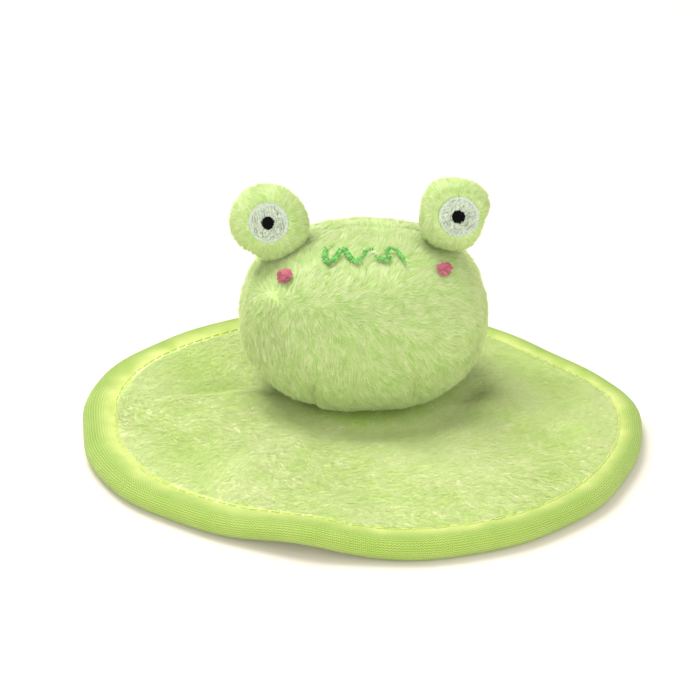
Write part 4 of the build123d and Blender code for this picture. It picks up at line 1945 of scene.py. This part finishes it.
@dataclass
class EyeBump:
    """One eye bump: plush skins with pile, filling, seam, the embroidered disc and pupil, and its foot."""

    side: Side
    head: Head
    centre: np.ndarray
    half: tuple[float, float, float]
    lean: float
    power: float
    pinch: float
    disc_shift: tuple[float, float] = (0.0, 0.0)
    back: float = 24.0
    white_r: float = 7.0
    pupil_r: float = 2.1
    pile_depth: float = 1.3
    skin: float = 0.9
    pile: Pile = Pile(length=2.7, width=0.3, rise=15.0, lock=1.2, gather=0.34, stray=0.26, seed=91)
    fibres: tuple[int, int] = (12000, 9000)
    shell: bpy.types.Object = field(init=False)
    cloth: Surface = field(init=False)

    def turn(self) -> np.ndarray:
        """The bump's own axes in the frame: columns across, back and up."""
        back, out = math.radians(-self.back), math.radians(self.lean * self.side.value)
        about_x = np.array([[1, 0, 0], [0, math.cos(back), -math.sin(back)],
                            [0, math.sin(back), math.cos(back)]])
        about_y = np.array([[math.cos(out), 0, math.sin(out)], [0, 1, 0], [-math.sin(out), 0, math.cos(out)]])
        return about_x @ about_y

    def make_shell(self) -> None:
        """Makes the bump's skin as one closed form, with the disc's dip pressed into its front."""
        self.shell, directions = ico_form(f"eye_{self.side.word}_shell")
        reach = (np.abs(directions) ** self.power).sum(axis=1) ** (-1 / self.power)
        local = directions * reach[:, None] * (np.array(self.half) - self.pile_depth - 0.4)
        outer = ease(-2.0, 9.0, local[:, 0] * self.side.value) * ease(6.0, -4.0, local[:, 2])
        local[:, 0] *= 1 - self.pinch * outer
        set_coordinates(self.shell, self.to_frame(local))
        rim = np.abs(local[:, 1]) < 0.8
        foot = local[:, 2] < -self.half[2] * 0.55
        inflate(self.shell, rim | foot, 4.0, 0.8)
        local = self.to_local(coordinates(self.shell))
        eye = np.hypot(local[:, 0] - self.disc_shift[0], local[:, 2] - self.disc_shift[1])
        floor = -self.half[1] + 2.9
        dip = ease(self.white_r + 2.6, self.white_r - 0.2, eye) * (local[:, 1] < 0)
        pressed = local[:, 1] * (1 - dip) + np.maximum(floor, local[:, 1]) * dip
        local[:, 1] = np.where(dip > 0, pressed, local[:, 1])
        local[:, [0, 2]] *= (1 - 0.07 * bell(local[:, 1] - 0.6, 1.3))[:, None]
        set_coordinates(self.shell, self.to_frame(local))
        refine(self.shell)
        self.cloth = surface_of(self.shell)

    def to_local(self, points: np.ndarray) -> np.ndarray:
        """Turns points of the frame into the bump's own."""
        return (points - self.centre) @ self.turn()

    def to_frame(self, local: np.ndarray) -> np.ndarray:
        """Turns the bump's own points into the frame's."""
        return local @ self.turn().T + self.centre

    def on_disc(self, local: np.ndarray) -> np.ndarray:
        """Turns points laid out round the disc's middle into the frame's."""
        return self.to_frame(local + np.array([self.disc_shift[0], 0.0, self.disc_shift[1]]))

    def comb(self, places: np.ndarray) -> np.ndarray:
        """The pile runs out from the disc and over the bump's rim, with a twist."""
        local = self.to_local(places)
        radial = local * np.array([1.0, 0.0, 1.0])
        over = np.zeros_like(local)
        over[:, 1] = 6.0
        twist = np.radians(24.0 * Swell(15.0, 95).at(places) + 18.0 * Swell(6.0, 96).at(places) + 16.0)
        spun = np.column_stack([radial[:, 0] * np.cos(twist) - radial[:, 2] * np.sin(twist), radial[:, 1],
                                radial[:, 0] * np.sin(twist) + radial[:, 2] * np.cos(twist)])
        return (spun + over) @ self.turn().T

    def in_head(self, middles: np.ndarray) -> np.ndarray:
        """Says which places lie inside the head's skin."""
        tree = self.head.cloth.tree()
        inside = []
        for middle in middles:
            place, normal, _, _ = tree.find_nearest(Vector(middle))
            inside.append((Vector(middle) - place).dot(normal) < -0.4)
        return np.array(inside)

    def build_skins(self) -> None:
        """Builds the front and back skins and their pile."""
        word = self.side.word
        rear = self.turn()[:, 1]
        for part, front, count in (("front", True, self.fibres[0]), ("back", False, self.fibres[1])):
            skin = copied(self.shell, f"eye_{word}_{part}_skin")
            shift = rear * (0.25 if front else 0.95)
            halve(skin, tuple(self.centre + shift), tuple(rear), front)
            drop_faces(skin, self.in_head)
            cloth = surface_of(skin)
            area = cloth.areas().sum()
            pile = self.pile.grow(f"eye_{word}_{part}_pile", cloth, count, self.comb, self.bare)
            dress(pile, "head", "head_plush", WARDROBE.take(HEAD_PLUSH, "fibres"))
            thicken(skin, self.skin)
            dress(skin, "head", "head_plush", WARDROBE.take(HEAD_PLUSH, "ground"), f"eye_{word}_{part}_panel")

    def bare(self, roots: np.ndarray) -> np.ndarray:
        """Says where the disc leaves no room for pile."""
        local = self.to_local(roots)
        away = np.hypot(local[:, 0] - self.disc_shift[0], local[:, 2] - self.disc_shift[1])
        return (away < self.white_r - 0.4) & (local[:, 1] < 0)

    def build_filling(self) -> None:
        """Builds the filling inside the bump."""
        filling = copied(self.shell, f"eye_{self.side.word}_filling")
        points = coordinates(filling) - surface_of(filling).normals * (self.skin + 0.4)
        set_coordinates(filling, points)
        dress(filling, "head", "stuffing", WARDROBE.take(FillingFinish("fibre_filling")),
              f"eye_{self.side.word}_stuffing")

    def build_disc(self) -> None:
        """Builds the embroidered disc: a felt base, rows of silver stitches, and a satin rim."""
        word, rng = self.side.word, np.random.default_rng(101 + self.side.value)
        level = -self.half[1] + 2.2
        spots, heading, lengths, tones = [], [], [], []
        along, beside = slanted(52.0)
        inner = self.white_r - 1.0
        for offset in np.arange(-inner, inner + 0.1, 0.37):
            reach = math.sqrt(max(0.0, inner ** 2 - offset ** 2))
            spot = -reach - rng.uniform(0.0, 1.4)
            while spot < reach:
                length = rng.uniform(1.3, 2.4)
                start, end = max(spot, -reach), min(spot + length, reach)
                if end - start > 0.4:
                    spots.append(beside * offset + along * (start + end) / 2)
                    heading.append(along + beside * rng.normal(0, 0.09))
                    lengths.append(end - start + 0.1)
                    tones.append(rng.choice([0.2, 0.6, 0.8, 1.0], p=[0.1, 0.3, 0.36, 0.24]))
                spot += length
        for turn in full_turn(118):
            out = np.array([math.cos(turn), math.sin(turn)])
            spots.append(out * (self.white_r - 0.75 + rng.uniform(-0.1, 0.1)))
            heading.append(out + np.array([-out[1], out[0]]) * 0.35)
            lengths.append(rng.uniform(1.3, 1.75))
            tones.append(rng.uniform(0.62, 1.0))
        spots, heading = np.array(spots), np.array(heading)
        dome = 0.9 * (1 - (np.hypot(*spots.T) / self.white_r) ** 2)
        local = np.column_stack([spots[:, 0], np.full(len(spots), level) - dome, spots[:, 1]])
        along3 = np.column_stack([heading[:, 0], np.zeros(len(spots)), heading[:, 1]])
        turn = self.turn()
        facing = np.tile(-turn[:, 1], (len(spots), 1))
        disc = STITCHES.lay(f"eye_{word}_disc_stitches", self.on_disc(local), along3 @ turn.T, facing,
                            np.array(lengths), 0.25, np.array(tones), 0.5)
        dress(disc, "head", "eye_white_thread", WARDROBE.take(WHITE_THREAD))
        self.build_disc_base(level)
        self.build_pupil(level - 0.9)

    def build_disc_base(self, level: float) -> None:
        """Builds the domed felt under the disc's stitches.

        Args:
            level: How far forward the disc's edge lies, in the bump's own depth.
        """
        bpy.ops.object.select_all(action="DESELECT")
        bpy.ops.mesh.primitive_cylinder_add(vertices=96, radius=self.white_r * 0.985, depth=0.9,
                                            end_fill_type="NGON", rotation=(math.pi / 2, 0, 0))
        base = fresh(f"eye_{self.side.word}_disc_base")
        bpy.ops.object.transform_apply(location=True, rotation=True, scale=True)
        for _ in range(5):
            bpy.ops.object.mode_set(mode="EDIT")
            bpy.ops.mesh.select_mode(type="FACE")
            bpy.ops.mesh.select_all(action="DESELECT")
            bpy.ops.object.mode_set(mode="OBJECT")
            caps = [p for p in base.data.polygons if len(p.vertices) > 8]
            for cap in caps:
                cap.select = True
            bpy.ops.object.mode_set(mode="EDIT")
            bpy.ops.mesh.inset(thickness=self.white_r / 6.2, use_individual=True)
            bpy.ops.object.mode_set(mode="OBJECT")
        points = np.array([v.co for v in base.data.vertices])
        away = np.hypot(points[:, 0], points[:, 2])
        points[:, 1] += level + 0.55 - 0.9 * (1 - (away / self.white_r) ** 2)
        set_coordinates(base, self.on_disc(points))
        base.data.shade_smooth()
        set_uv(base, np.zeros((len(base.data.loops), 2)))
        set_attribute(base, "tone", np.full(len(base.data.vertices), 0.18))
        dress(base, "head", "eye_white_thread", WARDROBE.take(WHITE_THREAD), f"eye_{self.side.word}_white")

    def build_pupil(self, level: float) -> None:
        """Builds the pupil of ragged black stitches.

        Args:
            level: How far forward the disc's middle lies, in the bump's own depth.
        """
        rng = np.random.default_rng(111 + self.side.value)
        along, beside = slanted(100.0 if self.side is Side.RIGHT else 140.0)
        spots, lengths = [], []
        for offset in np.arange(-self.pupil_r + 0.15, self.pupil_r, 0.27):
            reach = math.sqrt(max(0.0, self.pupil_r ** 2 - offset ** 2)) * rng.uniform(0.82, 1.2)
            for part in (-1, 1):
                spots.append(beside * offset + along * part * reach * 0.46)
                lengths.append(max(0.7, reach * 1.16))
        spots = np.array(spots)
        local = np.column_stack([spots[:, 0] - 0.25, np.full(len(spots), level - 0.34), spots[:, 1]])
        turn = self.turn()
        heading = np.tile(turn @ np.array([along[0], 0.0, along[1]]), (len(spots), 1))
        facing = np.tile(-turn[:, 1], (len(spots), 1))
        pupil = STITCHES.lay(f"eye_{self.side.word}_pupil_stitches", self.on_disc(local), heading, facing,
                             np.array(lengths), 0.24, rng.uniform(0, 1, len(spots)), 0.9)
        dress(pupil, "head", "pupil_thread", WARDROBE.take(PUPIL_THREAD), f"eye_{self.side.word}_pupil")

    def build_seams(self) -> None:
        """Builds the closing stitches round the bump, and those that hold its foot to the head."""
        word, rng = self.side.word, np.random.default_rng(121 + self.side.value)
        tree, head_tree = self.cloth.tree(), self.head.cloth.tree()
        turn = self.turn()
        places, outward = [], []
        for angle in np.radians(np.arange(0.0, 360.0, 8.0)):
            heading = turn @ np.array([math.cos(angle), 0.0, math.sin(angle)])
            start = self.centre + turn[:, 1] * 0.6
            place, _, _, _ = tree.ray_cast(Vector(start), Vector(heading))
            near, normal, _, _ = head_tree.find_nearest(place)
            if (place - near).dot(normal) > 0.6:
                places.append(place)
                outward.append(heading)
        places, outward = np.array(places), np.array(outward)
        along = np.cross(outward, turn[:, 1])
        row = STITCHES.lay(f"eye_{word}_seam_stitches", places + outward * 0.2, along, outward, 1.5, 0.18,
                           rng.uniform(0.1, 0.8, len(places)))
        dress(row, "head", "sewing_thread", WARDROBE.take(SEWING_THREAD), f"eye_{word}_side_seam")
        local = self.to_local(self.cloth.points)
        ring = []
        for angle in np.radians(np.arange(0.0, 360.0, 11.0)):
            sector = np.abs(np.angle(np.exp(1j * (np.arctan2(local[:, 1], local[:, 0]) - angle)))) < 0.12
            ids = np.flatnonzero(sector & (local[:, 2] < 2.0))
            gaps = []
            for index in ids:
                near, normal, _, _ = head_tree.find_nearest(Vector(self.cloth.points[index]))
                gaps.append(abs((Vector(self.cloth.points[index]) - near).dot(normal)))
            if gaps:
                ring.append(self.cloth.points[ids[int(np.argmin(gaps))]])
        ring = np.array(ring)
        outward = unit(ring - self.head.centre)
        heading = unit(np.roll(ring, -1, axis=0) - np.roll(ring, 1, axis=0))
        foot = STITCHES.lay(f"eye_{word}_foot_ladder", ring + outward * 0.2, heading, outward, 2.0, 0.2,
                            rng.uniform(0.0, 0.7, len(ring)))
        dress(foot, "head", "sewing_thread", WARDROBE.take(SEWING_THREAD), f"eye_{word}_foot_stitches")

    def build(self) -> None:
        """Builds the whole bump."""
        self.make_shell()
        self.build_filling()
        self.build_skins()
        self.build_disc()
        self.build_seams()
        bpy.data.objects.remove(self.shell)


# ---- The studio ----

@dataclass
class Studio:
    """A plain pale floor, soft light, and the camera."""

    elevation: float = 26.5
    distance: float = 0.8
    lens: float = 117.7
    aim: tuple[float, float, float] = (-0.0049, 0.010, 0.027)

    def build_floor(self) -> None:
        """Lays the floor."""
        bpy.ops.object.select_all(action="DESELECT")
        bpy.ops.mesh.primitive_plane_add(size=12.0)
        floor = fresh("floor")
        made = Shade("pale_floor")
        made.set(Base_Color=(0.82, 0.75, 0.68, 1.0), Roughness=0.8, Specular_IOR_Level=0.1)
        floor.data.materials.append(made.material)

    def add_lamp(self, name: str, place: tuple[float, float, float], size: float, power: float) -> None:
        """Hangs a soft lamp that points at the puppet.

        Args:
            name: The lamp's name.
            place: Where it hangs, in metres.
            size: Its width, in metres.
            power: Its power, in watts.
        """
        lamp = bpy.data.lights.new(name, "AREA")
        lamp.shape = "DISK"
        lamp.size = size
        lamp.energy = power
        holder = bpy.data.objects.new(name, lamp)
        bpy.context.scene.collection.objects.link(holder)
        holder.location = place
        holder.rotation_euler = (Vector(self.aim) - Vector(place)).to_track_quat("-Z", "Y").to_euler()

    def build(self) -> None:
        """Sets up the floor, the lights and the camera."""
        self.build_floor()
        world = bpy.data.worlds.new("studio")
        world.use_nodes = True
        world.node_tree.nodes["Background"].inputs[0].default_value = (1.0, 1.0, 1.0, 1.0)
        world.node_tree.nodes["Background"].inputs[1].default_value = 0.72
        scene = bpy.context.scene
        scene.world = world
        scene.view_settings.view_transform = "Standard"
        self.add_lamp("key", (-0.3, 0.3, 0.9), 0.7, 9.0)
        self.add_lamp("fill", (0.1, -1.1, 0.24), 1.0, 9.5)
        self.add_lamp("side_left", (-1.0, -0.2, 0.35), 0.8, 2.2)
        self.add_lamp("side_right", (1.0, -0.2, 0.35), 0.8, 2.2)
        camera = bpy.data.cameras.new("camera")
        camera.lens = self.lens
        camera.sensor_width = 36.0
        holder = bpy.data.objects.new("camera", camera)
        scene.collection.objects.link(holder)
        rise = math.radians(self.elevation)
        back = Vector((0.0, -math.cos(rise), math.sin(rise)))
        holder.location = Vector(self.aim) + back * self.distance
        holder.rotation_euler = (-back).to_track_quat("-Z", "Y").to_euler()
        scene.camera = holder


def main() -> None:
    """Builds the studio and every piece of the puppet."""
    logging.basicConfig(level=logging.INFO, format="%(message)s")
    Studio().build()
    Mat().build()
    Neck().build()
    head = Head()
    head.make_shell()
    embroidery = Embroidery(head)
    head.build_filling()
    head.build_skins(embroidery.bare)
    head.build_pocket()
    head.build_seam()
    head.build_darts()
    embroidery.build()
    EyeBump(Side.LEFT, head, np.array([-32.7, 19.0, 71.4]), half=(14.3, 9.5, 15.1), lean=45.0, power=2.1,
            pinch=0.12).build()
    EyeBump(Side.RIGHT, head, np.array([30.9, 17.5, 75.4]), half=(12.9, 9.5, 13.4), lean=10.0, power=2.6,
            pinch=0.14, disc_shift=(1.5, -0.9)).build()
    bpy.data.objects.remove(head.shell)


if __name__ == "__main__":
    main()
